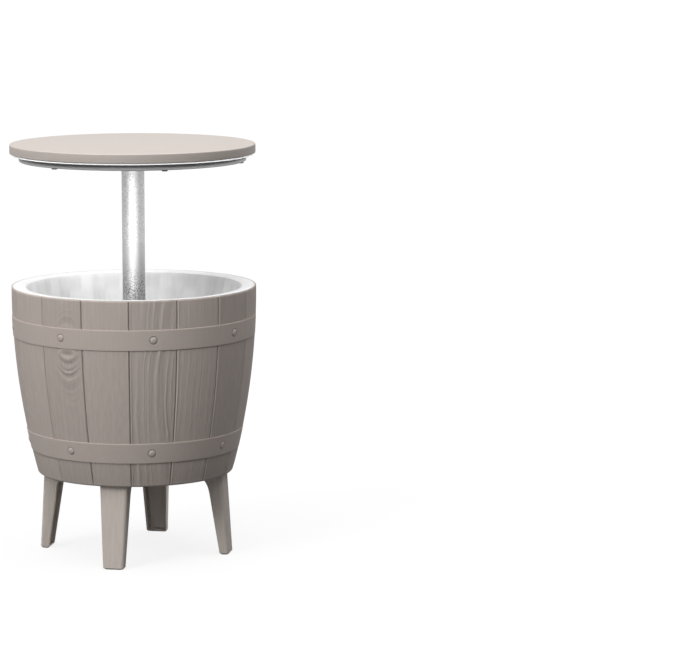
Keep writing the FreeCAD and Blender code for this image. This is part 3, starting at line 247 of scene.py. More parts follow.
def stave_relief(stave, kind, radius, height):
    """One stave over the skin's rows: its relief, its darkening, partly tone and partly painted shade,
    and the bearings of its columns.

    The relief is the grain, eased in beside the seams, plus the lip and less the seam's V.
    """
    turn = stave_angles(kind)
    across = (turn - STAVE_TURN / 2)[None, :] * radius[:, None] * 1000
    from_seam = np.minimum(turn, STAVE_TURN - turn)[None, :] * SEAM_RADIUS
    in_seam = np.clip(SEAM_SLOPE - SEAM_SLOPE * from_seam / SEAM_HALF, 0, 1)
    grain = grain_relief(across, height[:, None] * 1000, kind, stave) / 1000
    if kind != "fine":
        grain += FINE_SHARE * grain_relief(across, height[:, None] * 1000, "fine", stave + 7) / 1000
    grain *= np.clip((from_seam - GRAIN_START) / GRAIN_EASE, 0, 1)
    lip = np.exp(-((turn * SEAM_RADIUS - LIP_PLACE) / LIP_WIDTH) ** 2)[None, :]
    lip_rise = LIP_RISE * (PROUD_LIP if stave == PROUD_STAVE else 1)
    # The hollows' darkening with their depth: partly grain tone, partly painted shade.
    hollow = np.clip(HOLLOW_START - grain * HOLLOW_GROWTH, 0, HOLLOW_TONE_AND_PAINTED_SHADE) * GRAIN[kind]["hollow_tone_and_shade_share"]
    # Each stave's own tone, plus painted shade on the proud stave.
    own = STAVE_SHADE * (1 + np.sin(stave * STAVE_STEP)) + PROUD_PAINTED_SHADE * (stave == PROUD_STAVE)
    # Painted shade deep in the seam, or the hollows' darkening where that is more, plus the stave's tone.
    shade = np.maximum(SEAM_PAINTED_SHADE * np.clip(2 * in_seam - 1, 0, 1), hollow) + own
    bearing = (stave - 0.5) * STAVE_TURN - math.pi / 2 + turn
    return grain + lip_rise * lip - SEAM_DEPTH * in_seam, shade, bearing


def make_staves():
    """The skin: a turned profile, cut back at the seams and raised by each stave's grain."""
    radius, height, outward, downward = skin_profile()
    staves = [stave_relief(stave, kind, radius, height) for stave, kind in enumerate(STAVE_GRAIN)]
    relief, shade, angle = (np.concatenate(parts, axis=-1) for parts in zip(*staves))
    # Painted shadow on the row just under each hoop, and painted shade growing towards the foot.
    from_hoop = np.min([np.abs(height - middle + HOOP_HALF) for middle in HOOP_HEIGHTS], axis=0)
    towards_foot = np.clip((FOOT_PAINTED_SHADE_TOP - height) / FOOT_PAINTED_SHADE_FADE, 0, 1)
    shade += (HOOP_PAINTED_SHADOW * (from_hoop < ROW_TOLERANCE) + FOOT_PAINTED_SHADE * towards_foot)[:, None]
    relief *= np.clip((height - BARREL_BOTTOM - FOOT_START) / FOOT_EASE, FOOT_SHARE, 1)[:, None]
    # Within that radius no relief, and the foot's full painted shade all over.
    relief[radius < UNDER_PLAIN] = 0
    shade[radius < UNDER_PLAIN] = FOOT_PAINTED_SHADE
    points = turned_points(radius[:, None] + relief * outward[:, None],
                           height[:, None] - relief * downward[:, None], angle[None, :])
    rim = turned_points(np.array([[BARREL_RIM_INNER]]), height[-1:, None], angle[None, :])
    return surface("staves", np.concatenate([points, rim]), shade=np.concatenate([shade, shade[-1:]]))


# The resin's finish, and what all finishes are built of. A node that mixes colours has its sockets
# by number: share, first and second colour, and result. Noise lies mostly in its range.
MIX_SHARE, MIX_FIRST, MIX_SECOND, MIX_RESULT = 0, 6, 7, 2
NOISE_RANGE = (0.3, 0.7)
RESIN_BUMP = 0.0008


def new_material(name):
    """A material with the plain shader, and the nodes and links of its tree."""
    material = bpy.data.materials.new(name)
    material.use_nodes = True
    return material, material.node_tree.nodes, material.node_tree.links


def noise(nodes, links, place, fineness, detail=2):
    """Noise over a place."""
    texture = nodes.new("ShaderNodeTexNoise")
    texture.inputs["Scale"].default_value = fineness
    texture.inputs["Detail"].default_value = detail
    links.new(place, texture.inputs["Vector"])
    return texture.outputs["Fac"]


def spread(nodes, links, value, source=(0, 1), target=(0, 1)):
    """A value carried over from one range to another."""
    mapped = nodes.new("ShaderNodeMapRange")
    mapped.inputs["From Min"].default_value, mapped.inputs["From Max"].default_value = source
    mapped.inputs["To Min"].default_value, mapped.inputs["To Max"].default_value = target
    links.new(value, mapped.inputs["Value"])
    return mapped.outputs["Result"]


def mixed(nodes, links, share, first, second):
    """A first colour, or another node's, that goes over into a second one by a share."""
    mix = nodes.new("ShaderNodeMix")
    mix.data_type = "RGBA"
    mix.inputs[MIX_SECOND].default_value = (*second, 1)
    links.new(share, mix.inputs[MIX_SHARE])
    if isinstance(first, tuple):
        mix.inputs[MIX_FIRST].default_value = (*first, 1)
    else:
        links.new(first, mix.inputs[MIX_FIRST])
    return mix.outputs[MIX_RESULT]


def mesh_shade(nodes):
    """The mesh's shade, partly tone and partly painted shade, which surface stores at its points."""
    shade = nodes.new("ShaderNodeAttribute")
    shade.attribute_name = "shade"
    return shade.outputs["Fac"]


def add_bump(nodes, links, height, strength, distance):
    """Small relief that only the light shows."""
    bump = nodes.new("ShaderNodeBump")
    bump.inputs["Strength"].default_value = strength
    bump.inputs["Distance"].default_value = distance
    links.new(height, bump.inputs["Height"])
    links.new(bump.outputs["Normal"], nodes["Principled BSDF"].inputs["Normal"])


def resin(name, colour, roughness, grain=0.0, along=0.06, mottle=0.03, fineness=260, deep=0.2):
    """Moulded resin: one colour with a faint mottle, a fine grain drawn out along the height, and
    darker where the mesh's shade says so, down to a deep share of the colour. That shade is partly
    tone and partly painted shade."""
    material, nodes, links = new_material(name)
    shader = nodes["Principled BSDF"]
    shader.inputs["Roughness"].default_value = roughness
    place = nodes.new("ShaderNodeTexCoord")
    scaled = nodes.new("ShaderNodeMapping")
    scaled.inputs["Scale"].default_value = (1, 1, along)
    links.new(place.outputs["Object"], scaled.inputs["Vector"])
    fine = noise(nodes, links, scaled.outputs["Vector"], fineness, detail=4)
    dull = tuple(c * (1 - mottle) for c in colour)
    pale = tuple(min(1, c * (1 + mottle)) for c in colour)
    tone = mixed(nodes, links, spread(nodes, links, fine, source=NOISE_RANGE), dull, pale)
    shaded = mixed(nodes, links, mesh_shade(nodes), tone, tuple(c * deep for c in colour))
    links.new(shaded, shader.inputs["Base Color"])
    if grain:
        add_bump(nodes, links, fine, grain, RESIN_BUMP)
    return material


barrel_resin = resin("barrel_resin", BARREL_TAUPE, 0.62, grain=0.35, mottle=0.06)
staves = make_staves()
staves.data.materials.append(barrel_resin)
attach(staves, "barrel")
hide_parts("barrel_shell")


# The two hoops: smooth raised bands moulded on the staves in the same resin.
# Eight rivet heads stand on each, every one in a shallow dish of its own, darkened with painted shade.
# A hoop's edges are rooted a little under the staves.
HOOP_RELIEF = 0.0013
HOOP_EDGE = 0.0007
HOOP_ROOT = 0.004
RIVET_COUNT = 8
RIVET_TURN = 2 * math.pi / RIVET_COUNT
FIRST_RIVET = 1.5 * math.pi + STAVE_TURN
RIVET_RADIUS = 0.0066
RIVET_RISE = 0.0020
RIVET_FULLNESS = 0.97
DISH_RADIUS = 0.0091
DISH_OVERLAP = 0.0006
DISH_DEPTH = 0.0009
DISH_PAINTED_SHADE = 0.4

# Round each rivet the columns and rows lie close together, this far to each side. Columns between
# the rivets count as clear of them.
PATCH_ACROSS = 0.0096
PATCH_ALONG = 0.0098
PATCH_LINES = 27
BETWEEN_LINES = 22
EDGE_LINES = 5
CLEAR_OF_RIVETS = 0.05


def rivet_relief(distance):
    """Rise at a distance from a rivet's middle, and its share of the painted shade in the dish round it.

    The head is a flattened dome, and the dish is half a sine.
    """
    dome = RIVET_RISE * np.sqrt(np.clip(1 - (distance / RIVET_RADIUS) ** 2 * RIVET_FULLNESS, 0, 1))
    start = RIVET_RADIUS - DISH_OVERLAP
    dish = np.sin(np.pi * np.clip((distance - start) / (DISH_RADIUS - start), 0, 1))
    return np.where(distance < RIVET_RADIUS, dome, -DISH_DEPTH * dish), dish


def make_hoop(name, middle):
    """A band with eased edges, raised by its rivets."""
    spot = np.linspace(-PATCH_ACROSS, PATCH_ACROSS, PATCH_LINES)
    next_spot = RIVET_TURN * side_radius(middle) - PATCH_ACROSS
    between = np.linspace(PATCH_ACROSS, next_spot, BETWEEN_LINES)[1:-1]
    first = FIRST_RIVET + np.concatenate([spot, between]) / side_radius(middle)
    angle = np.concatenate([first + rivet * RIVET_TURN for rivet in range(RIVET_COUNT)])
    turn = np.linspace(0, np.pi / 2, EDGE_LINES)
    inset = HOOP_EDGE * (1 - np.cos(turn))
    rise = HOOP_RELIEF - HOOP_EDGE * (1 - np.sin(turn))
    plain = np.linspace(PATCH_ALONG, HOOP_HALF - HOOP_EDGE, EDGE_LINES)[1:-1]
    rows = np.concatenate([-plain[::-1], np.linspace(-PATCH_ALONG, PATCH_ALONG, PATCH_LINES), plain])
    along = np.concatenate([[-HOOP_HALF], inset - HOOP_HALF, rows, HOOP_HALF - inset[::-1], [HOOP_HALF]])
    lift = np.concatenate([[-HOOP_ROOT], rise, np.full(rows.size, HOOP_RELIEF), rise[::-1], [-HOOP_ROOT]])
    aside = np.tile(np.concatenate([spot, np.full(between.size, CLEAR_OF_RIVETS)]), RIVET_COUNT)
    relief, dish = rivet_relief(np.hypot(aside[None, :], along[:, None]))
    radius = (side_radius(middle + along) + lift)[:, None] + relief
    points = turned_points(radius, (middle + along)[:, None], angle[None, :])
    return surface(name, points, shade=DISH_PAINTED_SHADE * dish)


hoop_resin = resin("hoop_resin", BARREL_TAUPE, 0.58, mottle=0.02)
for name, middle in zip(("lower_hoop", "upper_hoop"), HOOP_HEIGHTS):
    hoop = make_hoop(name, middle)
    hoop.data.materials.append(hoop_resin)
    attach(hoop, "barrel")
    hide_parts("barrel_shell")


# The four splayed legs and their screws: moulded channels in a paler resin, screwed up under the barrel.
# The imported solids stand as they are, with a faint grain along each leg.
LEG_TAUPE = (0.575, 0.515, 0.465)
GLOSS_FINENESS = 900
GLOSS_CHANGE = 0.2


def dress(node, material):
    """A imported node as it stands, with its finish."""
    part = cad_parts[node]
    part.data.materials.clear()
    part.data.materials.append(material)


def metal(name, colour, roughness):
    """Plain metal with a fine uneven gloss."""
    material, nodes, links = new_material(name)
    shader = nodes["Principled BSDF"]
    shader.inputs["Metallic"].default_value = 1.0
    shader.inputs["Base Color"].default_value = (*colour, 1)
    place = nodes.new("ShaderNodeTexCoord")
    fine = noise(nodes, links, place.outputs["Object"], GLOSS_FINENESS)
    ends = (roughness * (1 - GLOSS_CHANGE), roughness * (1 + GLOSS_CHANGE))
    links.new(spread(nodes, links, fine, target=ends), shader.inputs["Roughness"])
    return material


leg_resin = resin("leg_resin", LEG_TAUPE, 0.6, grain=0.5, along=0.04, mottle=0.06)
for side in ("front", "right", "back", "left"):
    dress(f"{side}_leg", leg_resin)
screw_steel = metal("screw_steel", (0.60, 0.60, 0.59), 0.35)
dress("leg_screws", screw_steel)


# The inner tub: one white moulding whose flange lies on the barrel's edge.
# Its wall is parted into sixteen flat panels that soften into the round mouth.
TUB_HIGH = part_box("tub_liner")[1]
RIM = TUB_HIGH.z
RIM_EDGE = TUB_HIGH.x
RIM_WIDTH = 0.0284
RIM_FALL = 0.0022
RIM_INSET = 0.0012
RIM_ROUND = 0.0006
MOUTH = RIM_EDGE - RIM_WIDTH
MOUTH_ROUND = 0.0012
FLANGE = 0.002
SHELL_WALL = 0.0037
SNAP_WALL = 0.002
SNAP_DEPTH = 0.010
TUB_FLOOR = 0.182
TUB_FLOOR_RADIUS = 0.1759
TUB_CORNER = 0.022
TUB_WALL = 0.003
WALL_TOP = RIM - 0.012
WALL_FOOT = TUB_FLOOR + 0.03
WALL_ROWS = 24
MOUTH_SLACK = 0.0002
FLOOR_SLACK = 0.001

# Panels: how far they are drawn in at their middle, and the height from which they ease in.
# Columns stand at some steps from the groove between two, which is a few steps wide.
PANEL_SAG = 0.0016
PANEL_TOP = RIM - 0.004
PANEL_EASE = 0.03
PANEL_COLUMNS = 13
PANEL_START = 4
GROOVE_STEP = 0.0012
GROOVE_COLUMNS = (0, 0.5, 1, 2)
GROOVE_REACH = 1.6
GROOVE_DEPTH = 0.0009

# Painted shade: under the mouth the white is darkened a little, more in some patches than in others.
MOUTH_PAINTED_SHADE = 0.10
MOUTH_SHADE_CHANGE = 0.08
MOUTH_SHADE_EASE = 0.004
PATCH_HEIGHT = 0.034
PATCHES_PER_PANEL = 3
PATCH_STEPS = (2.1, 1.3)


def eased(corners, steps=6):
    """Closed outline through (radius, height, rounding) corners, each an arc tangent to both its sides."""
    spots = np.array([corner[:2] for corner in corners], float)
    points = []
    for index, (*_, rounding) in enumerate(corners):
        here = spots[index]
        into = here - spots[index - 1]
        out = spots[(index + 1) % len(corners)] - here
        into, out = into / np.hypot(*into), out / np.hypot(*out)
        if not rounding:
            points.append(here[None])
            continue
        turn = math.atan2(into[0] * out[1] - into[1] * out[0], into @ out)
        start = here - into * rounding * math.tan(abs(turn) / 2)
        side = np.array([-into[1], into[0]]) * math.copysign(1, turn)
        middle = start + side * rounding
        swing = np.linspace(0, turn, steps)[:, None]
        cosine, sine = np.cos(swing), np.sin(swing)
        across, up = start - middle
        points.append(middle + np.concatenate([across * cosine - up * sine,
                                               across * sine + up * cosine], axis=1))
    return np.concatenate(points + [points[0][:1]])


def turned(name, corners, columns=192, steps=6, shade=np.zeros_like):
    """A solid turned about an upright axis from its eased outline, anticlockwise with radius to the
    right, darkened by a function of its heights."""
    radius, height = eased(corners, steps).T
    angle = np.arange(columns) * 2 * np.pi / columns
    points = turned_points(radius[:, None], height[:, None], angle[None, :])
    return surface(name, points, shade=shade(height)[:, None])


def tub_outline():
    """The tub's outline, up its outside, over the snap lip and the flange, and down its inner wall.

    With it goes which of its points face the inside of the tub, between mouth and floor.
    """
    rows = np.linspace(WALL_TOP, WALL_FOOT, WALL_ROWS)
    wall = MOUTH + (TUB_FLOOR_RADIUS - MOUTH) * ((RIM - rows) / (RIM - TUB_FLOOR))
    shell_inside = side_radius(RIM - FLANGE) - SHELL_WALL
    outside = [
        (0, TUB_FLOOR - TUB_WALL, 0),
        (TUB_FLOOR_RADIUS + TUB_WALL, TUB_FLOOR - TUB_WALL, TUB_CORNER + TUB_WALL),
        (MOUTH + TUB_WALL, RIM - FLANGE, 0),
        (shell_inside - SNAP_WALL, RIM - FLANGE, 0),
        (shell_inside - SNAP_WALL, RIM - SNAP_DEPTH, 0),
        (shell_inside, RIM - SNAP_DEPTH, 0),
        (shell_inside, RIM - FLANGE, 0),
        (RIM_EDGE - RIM_INSET, RIM - FLANGE, 0),
        (RIM_EDGE - RIM_INSET, RIM, RIM_ROUND),
        (MOUTH, RIM - RIM_FALL, MOUTH_ROUND),
    ]
    inner = [(radius, height, 0) for radius, height in zip(wall, rows)]
    floor = [(TUB_FLOOR_RADIUS, TUB_FLOOR, TUB_CORNER), (0, TUB_FLOOR, 0)]
    radius, height = eased([*outside, *inner, *floor]).T
    past_rim = np.arange(radius.size) > np.argmax(height)
    inside = past_rim & (radius < MOUTH + MOUTH_SLACK) & (height > TUB_FLOOR + FLOOR_SLACK)
    return radius, height, inside


def make_tub():
    """The turned tub, its inner wall drawn in to flat panels below the mouth.

    A panel is drawn in by its sag at its middle and by nothing at its ends, along a parabola.
    """
    radius, height, inside = tub_outline()
    half = math.pi / STAVE_COUNT
    step = GROOVE_STEP / MOUTH
    turn = np.concatenate([np.array(GROOVE_COLUMNS) * step,
                           np.linspace(PANEL_START * step, 2 * half - PANEL_START * step, PANEL_COLUMNS),
                           2 * half - np.array(GROOVE_COLUMNS[:0:-1]) * step])
    angle = np.concatenate([half + turn + panel * 2 * half for panel in range(STAVE_COUNT)])
    from_groove = np.tile(np.minimum(turn, 2 * half - turn), STAVE_COUNT)
    below = np.where(inside, np.clip((PANEL_TOP - height) / PANEL_EASE, 0, 1), 0)
    flat = -PANEL_SAG * (1 - ((half - from_groove) / half) ** 2)
    groove = GROOVE_DEPTH * np.clip(1 - from_groove / (GROOVE_REACH * step), 0, 1)
    draw = below[:, None] * (flat + groove)[None, :]
    # Painted shade on the inner wall under the mouth, uneven from patch to patch.
    patch_column = np.floor(angle / (2 * half) * PATCHES_PER_PANEL)
    patch_row = np.floor(height / PATCH_HEIGHT)
    patch = np.sin(patch_column[None, :] * PATCH_STEPS[0] + patch_row[:, None] * PATCH_STEPS[1])
    under_rim = np.where(inside, np.clip((RIM - RIM_FALL - height) / MOUTH_SHADE_EASE, 0, 1), 0)
    inner_wall_shade = under_rim[:, None] * (MOUTH_PAINTED_SHADE + MOUTH_SHADE_CHANGE * patch)
    points = turned_points(radius[:, None] + draw, height[:, None], angle[None, :])
    return surface("tub", points, shade=inner_wall_shade)


tub_resin = resin("tub_resin", (0.95, 0.95, 0.95), 0.34, mottle=0.05, along=0.25, fineness=60)
tub = make_tub()
tub.data.materials.append(tub_resin)
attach(tub, "barrel")
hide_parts("tub_liner")


# The guide column in the middle of the tub: a white sleeve screwed through its foot and a gasket.
# A nylon collar in its mouth guides the post, and the split nylon glide runs in its two grooves.
dress("guide_column", tub_resin)
grey_nylon = resin("grey_nylon", (0.42, 0.42, 0.43), 0.45, mottle=0.02, along=1)
rubber = resin("rubber", (0.035, 0.035, 0.037), 0.7, mottle=0.02, along=1)
for node in ("column_collar", "lock_glide", "mast_plug"):
    dress(node, grey_nylon)
for node in ("column_gasket", "drain_gasket", "plug_seal"):
    dress(node, rubber)
for node in ("column_screws", "plug_screw", "glide_washer"):
    dress(node, screw_steel)


# The drain in the tub's floor: a white threaded fitting, its nut under the barrel and its stopper.
drain_resin = resin("drain_resin", (0.78, 0.78, 0.77), 0.4, mottle=0.02, along=1)
for node in ("drain_fitting", "drain_nut", "drain_plug"):
    dress(node, drain_resin)


# The post: a drawn aluminium tube, bead-blasted and clear anodised, pinned in the plate above it.
MAST_LOW, MAST_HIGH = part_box("mast_tube")
MAST_RADIUS = 0.023
MAST_WALL = 0.0016
MAST_EDGE = 0.0004
MAST_ROWS = 60
# Painted shade and reflection of the tub: the post darkens below a height, over a fade, by a share.
PAINTED_DARK_TOP = 0.640
PAINTED_DARK_FADE = 0.10
PAINTED_DARK_STRENGTH = 0.95
SPECKLE_FINENESS = 430
SPECKLE_RANGE = (0.35, 0.62)
SPECKLE_DULL = (0.66, 0.66, 0.66)
SPECKLE_STRENGTH = 0.25
SPECKLE_BUMP = 0.0003
# The painted darkening goes over a range of the speckle into a grey.
PAINTED_DARK_RANGE = (0.38, 0.60)
PAINTED_DARK_GREY = (0.12, 0.12, 0.12)


def blasted_aluminium(name):
    """Bead-blasted aluminium: bright metal with a fine speckle in its tone and its relief.

    The mesh's painted shade darkens it, most where the speckle is bright.
    """
    material = metal(name, (0.62, 0.62, 0.62), 0.46)
    nodes, links = material.node_tree.nodes, material.node_tree.links
    place = nodes["Texture Coordinate"]
    speckle = noise(nodes, links, place.outputs["Object"], SPECKLE_FINENESS, detail=3)
    tone = nodes.new("ShaderNodeValToRGB")
    dull, bright = tone.color_ramp.elements
    dull.position, bright.position = SPECKLE_RANGE
    dull.color, bright.color = (*SPECKLE_DULL, 1), (1, 1, 1, 1)
    links.new(speckle, tone.inputs["Fac"])
    share = nodes.new("ShaderNodeMath")
    share.operation = "MULTIPLY"
    links.new(mesh_shade(nodes), share.inputs[0])
    links.new(spread(nodes, links, speckle, source=PAINTED_DARK_RANGE), share.inputs[1])
    shaded = mixed(nodes, links, share.outputs[0], tone.outputs["Color"], PAINTED_DARK_GREY)
    links.new(shaded, nodes["Principled BSDF"].inputs["Base Color"])
    add_bump(nodes, links, speckle, SPECKLE_STRENGTH, SPECKLE_BUMP)
    return material


def post_painted_dark(height):
    """Painted shade and reflection of the tub: darker towards it, below a height and over a fade."""
    return PAINTED_DARK_STRENGTH * np.clip((PAINTED_DARK_TOP - height) / PAINTED_DARK_FADE, 0, 1)


post_metal = blasted_aluminium("post_metal")
post_heights = np.linspace(MAST_LOW.z + 0.001, MAST_HIGH.z - 0.001, MAST_ROWS)
post = turned("post", [
    (MAST_RADIUS - MAST_WALL, MAST_LOW.z, 0),
    (MAST_RADIUS, MAST_LOW.z, MAST_EDGE),
    *[(MAST_RADIUS, height, 0) for height in post_heights],
    (MAST_RADIUS, MAST_HIGH.z, MAST_EDGE),
    (MAST_RADIUS - MAST_WALL, MAST_HIGH.z, 0),
], columns=96, shade=post_painted_dark)
post.data.materials.append(post_metal)
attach(post, "tabletop")
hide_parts("mast_tube")

cast_metal = metal("cast_metal", (0.50, 0.50, 0.50), 0.5)
dress("mast_flange", cast_metal)
dress("mast_pin", screw_steel)
dress("flange_screws", screw_steel)


# The table top: a smooth satin moulding with a soft edge and a skirt that hides the lid's ring.
TABLE_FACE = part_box("table_top")[1].z
TOP_RADIUS = 0.2475
TOP_PLATE = 0.004
TOP_ROUND = 0.0022
SKIRT_BOTTOM = TABLE_FACE - 0.018
SKIRT_WALL = 0.0035
SKIRT_ROUND = 0.0007
TOP_TAUPE = (0.606, 0.543, 0.495)
top_resin = resin("top_resin", TOP_TAUPE, 0.36, grain=0.04, along=1, mottle=0.01, fineness=420)
table_top = turned("table_top_skin", [
    (0, TABLE_FACE - TOP_PLATE, 0),
    (TOP_RADIUS - SKIRT_WALL, TABLE_FACE - TOP_PLATE, 0),
    (TOP_RADIUS - SKIRT_WALL, SKIRT_BOTTOM, 0),
    (TOP_RADIUS, SKIRT_BOTTOM, SKIRT_ROUND),
    (TOP_RADIUS, TABLE_FACE, TOP_ROUND),
    (0, TABLE_FACE, 0),
], columns=288, steps=8)
table_top.data.materials.append(top_resin)
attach(table_top, "tabletop")
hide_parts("table_top")


# The lid's cover: a white stepped moulding screwed under the top, which closes the tub.
# Its ring nests in the skirt, and soft bumpers under it rest on the tub's flange.
COVER_LOW, COVER_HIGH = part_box("lid_cover")
COVER_RADIUS = 0.229
RING_RADIUS = 0.24385
RING_BOTTOM = COVER_LOW.z + 0.0125
COVER_WALL = 0.003
COVER_HOLE = 0.0233
# Painted shade on the cover's wall under the ring: where it starts and stops, rows that carry it, its
# share, how much more close under the ring, and over what reach.
UNDER_RING_SHADE_TOP = RING_BOTTOM - 0.0005
UNDER_RING_SHADE_BOTTOM = COVER_LOW.z + 0.0001
UNDER_RING_SHADE_ROWS = (0.006, 0.003)
UNDER_RING_PAINTED_SHADE = 0.74
UNDER_RING_SHADE_MORE = 0.10
UNDER_RING_SHADE_REACH = 0.007


def cover_painted_shade(height):
    """Painted shade on the wall below the ring, where ring and skirt shade it, darkest close under it, and
    white on the underside.
    """
    below = UNDER_RING_SHADE_TOP - height
    wall = (below > 0) & (height > UNDER_RING_SHADE_BOTTOM)
    return wall * (UNDER_RING_PAINTED_SHADE + UNDER_RING_SHADE_MORE * np.clip(1 - below / UNDER_RING_SHADE_REACH, 0, 1))


# The painted shade on the wall under the ring goes down to a deep share of the white.
cover_resin = resin("cover_resin", (0.93, 0.93, 0.93), 0.38, mottle=0.02, along=1, deep=0.06)
lid_cover = turned("lid_cover_skin", [
    (COVER_HOLE, COVER_LOW.z, 0.0005),
    (COVER_RADIUS, COVER_LOW.z, 0.0025),
    *[(COVER_RADIUS, RING_BOTTOM - below, 0) for below in UNDER_RING_SHADE_ROWS],
    (COVER_RADIUS, RING_BOTTOM, 0.0008),
    (RING_RADIUS, RING_BOTTOM, 0.0010),
    (RING_RADIUS, COVER_HIGH.z, 0),
    (RING_RADIUS - COVER_WALL, COVER_HIGH.z, 0),
    (RING_RADIUS - COVER_WALL, RING_BOTTOM + COVER_WALL, 0),
    (COVER_RADIUS - COVER_WALL, RING_BOTTOM + COVER_WALL, 0),
    (COVER_RADIUS - COVER_WALL, COVER_LOW.z + COVER_WALL, 0),
    (COVER_HOLE, COVER_LOW.z + COVER_WALL, 0),
], columns=288, shade=cover_painted_shade)
lid_cover.data.materials.append(cover_resin)
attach(lid_cover, "tabletop")
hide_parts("lid_cover")
dress("lid_bumpers", resin("bumper_rubber", (0.20, 0.20, 0.20), 0.6, mottle=0.02, along=1))
dress("cover_screws", screw_steel)


# The studio: a pale floor that shows white and keeps a soft shadow, a white surround and soft lamps.
# The floor is clear from below, so that the part's underside can be seen through it.
MIRROR_SHARE = 0.48
SURROUND_GREY = (0.09, 0.09, 0.092)
FLOOR_REACH = 60
FLOOR_DARK = (0.08, 0.08, 0.08)
FLOOR_PALE = (0.95, 0.95, 0.95)
FLOOR_GLOW = 0.86


def light_mix(nodes, links):
    """Share of white that a ray meets: one from the camera, less in a mirror, nought if scattered."""
    path = nodes.new("ShaderNodeLightPath")
    mirror = nodes.new("ShaderNodeMath")
    mirror.operation = "MULTIPLY"
    links.new(path.outputs["Is Glossy Ray"], mirror.inputs[0])
    mirror.inputs[1].default_value = MIRROR_SHARE
    both = nodes.new("ShaderNodeMath")
    both.operation = "MAXIMUM"
    links.new(path.outputs["Is Camera Ray"], both.inputs[0])
    links.new(mirror.outputs[0], both.inputs[1])
    return both.outputs[0]


def shader_of(nodes, kind, colour=None):
    """A plain shader's output, with its colour if it has one of its own."""
    shader = nodes.new(kind)
    if colour:
        shader.inputs["Color"].default_value = (*colour, 1)
    return shader.outputs[0]


def blended(nodes, links, share, first, second):
    """Two shaders blended by a share, which is a number or an output."""
    blend = nodes.new("ShaderNodeMixShader")
    if isinstance(share, float):
        blend.inputs["Fac"].default_value = share
    else:
        links.new(share, blend.inputs["Fac"])
    links.new(first, blend.inputs[1])
    links.new(second, blend.inputs[2])
    return blend.outputs[0]


world = bpy.data.worlds.new("studio")
bpy.context.scene.world = world
world.use_nodes = True
nodes, links = world.node_tree.nodes, world.node_tree.links
nodes["Background"].inputs["Color"].default_value = (*SURROUND_GREY, 1)
white = shader_of(nodes, "ShaderNodeBackground", (1, 1, 1))
shown = blended(nodes, links, light_mix(nodes, links), nodes["Background"].outputs[0], white)
links.new(shown, nodes["World Output"].inputs["Surface"])

floor_paint, nodes, links = new_material("floor_paint")
nodes.remove(nodes["Principled BSDF"])
dark = shader_of(nodes, "ShaderNodeBsdfDiffuse", FLOOR_DARK)
pale = shader_of(nodes, "ShaderNodeBsdfDiffuse", FLOOR_PALE)
seen = blended(nodes, links, FLOOR_GLOW, pale, shader_of(nodes, "ShaderNodeEmission"))
shown = blended(nodes, links, light_mix(nodes, links), dark, seen)
from_below = nodes.new("ShaderNodeNewGeometry").outputs["Backfacing"]
clear = shader_of(nodes, "ShaderNodeBsdfTransparent")
links.new(blended(nodes, links, from_below, shown, clear), nodes["Material Output"].inputs["Surface"])

corners = np.array([[[-1, -1, 0], [1, -1, 0]], [[-1, 1, 0], [1, 1, 0]]]) * FLOOR_REACH
floor = surface("floor", corners.astype(float), around=False)
floor.data.materials.append(floor_paint)


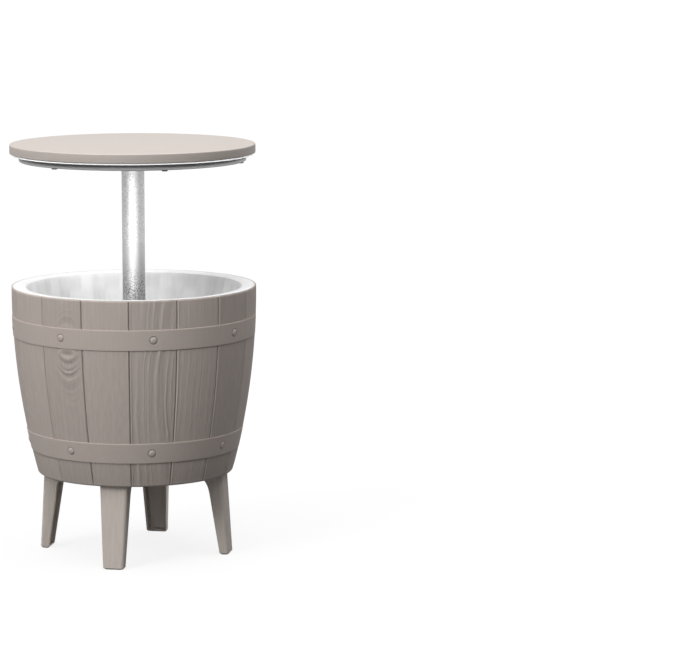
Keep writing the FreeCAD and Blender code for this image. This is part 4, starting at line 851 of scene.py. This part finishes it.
def lamp(name, bearing, elevation, strength, softness, only=()):
    """A far lamp towards a bearing from +X and an elevation, in degrees, as soft as the angle it fills.

    If pieces are given, it lights only those.
    """
    sun = bpy.data.lights.new(name, "SUN")
    sun.energy = strength
    sun.angle = math.radians(softness)
    holder = bpy.data.objects.new(name, sun)
    bpy.context.scene.collection.objects.link(holder)
    level = math.cos(math.radians(elevation))
    towards = Vector((level * math.cos(math.radians(bearing)), level * math.sin(math.radians(bearing)),
                      math.sin(math.radians(elevation))))
    holder.rotation_euler = towards.to_track_quat("Z", "Y").to_euler()
    if only:
        lit_pieces = bpy.data.collections.new(f"{name}_lit")
        for piece in only:
            lit_pieces.objects.link(piece)
        holder.light_linking.receiver_collection = lit_pieces


lamp("key", bearing=-122, elevation=34, strength=1.28, softness=24)
lamp("front", bearing=-94, elevation=8, strength=0.36, softness=34)
lamp("right", bearing=48, elevation=20, strength=0.26, softness=40)
lamp("overhead", bearing=-95, elevation=84, strength=2.9, softness=84)
lamp("tub_fill", bearing=-12, elevation=16, strength=1.5, softness=50, only=[tub])
lamp("tub_front", bearing=-40, elevation=14, strength=0.45, softness=40, only=[tub])
lamp("rim_light", bearing=180, elevation=55, strength=0.7, softness=20, only=[tub])
lamp("rim_right", bearing=20, elevation=50, strength=0.15, softness=30, only=[tub])
lamp("strip", bearing=-79, elevation=-8, strength=4.2, softness=84, only=[post])
lamp("ring_light", bearing=-78, elevation=26, strength=2.9, softness=16, only=[lid_cover])
lamp("left_edge", bearing=-165, elevation=23, strength=2.7, softness=16, only=[lid_cover])
lamp("right_edge", bearing=8, elevation=22, strength=3.0, softness=16, only=[lid_cover])
dark_legs = [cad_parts["left_leg"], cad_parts["back_leg"]]
lamp("leg_fill", bearing=4, elevation=0, strength=2.0, softness=30, only=dark_legs)
lamp("leg_bounce", bearing=-70, elevation=-12, strength=0.5, softness=40, only=dark_legs)

# The camera, as fitted to the photograph: metres, degrees, and millimetres for lens and sensor.
CAMERA_PLACE = (1.53746, -6.26674, 1.39481)
CAMERA_PITCH = 81.631
CAMERA_TURN = 10.063
CAMERA_LENS = 169.30
SENSOR_WIDTH = 36
CAMERA_REACH = 200
camera_data = bpy.data.cameras.new("camera")
camera = bpy.data.objects.new("camera", camera_data)
bpy.context.scene.collection.objects.link(camera)
camera.location = CAMERA_PLACE
camera.rotation_euler = (math.radians(CAMERA_PITCH), 0, math.radians(CAMERA_TURN))
camera_data.lens = CAMERA_LENS
camera_data.sensor_width = SENSOR_WIDTH
camera_data.clip_end = CAMERA_REACH
bpy.context.scene.camera = camera
bpy.context.scene.view_settings.view_transform = "Standard"
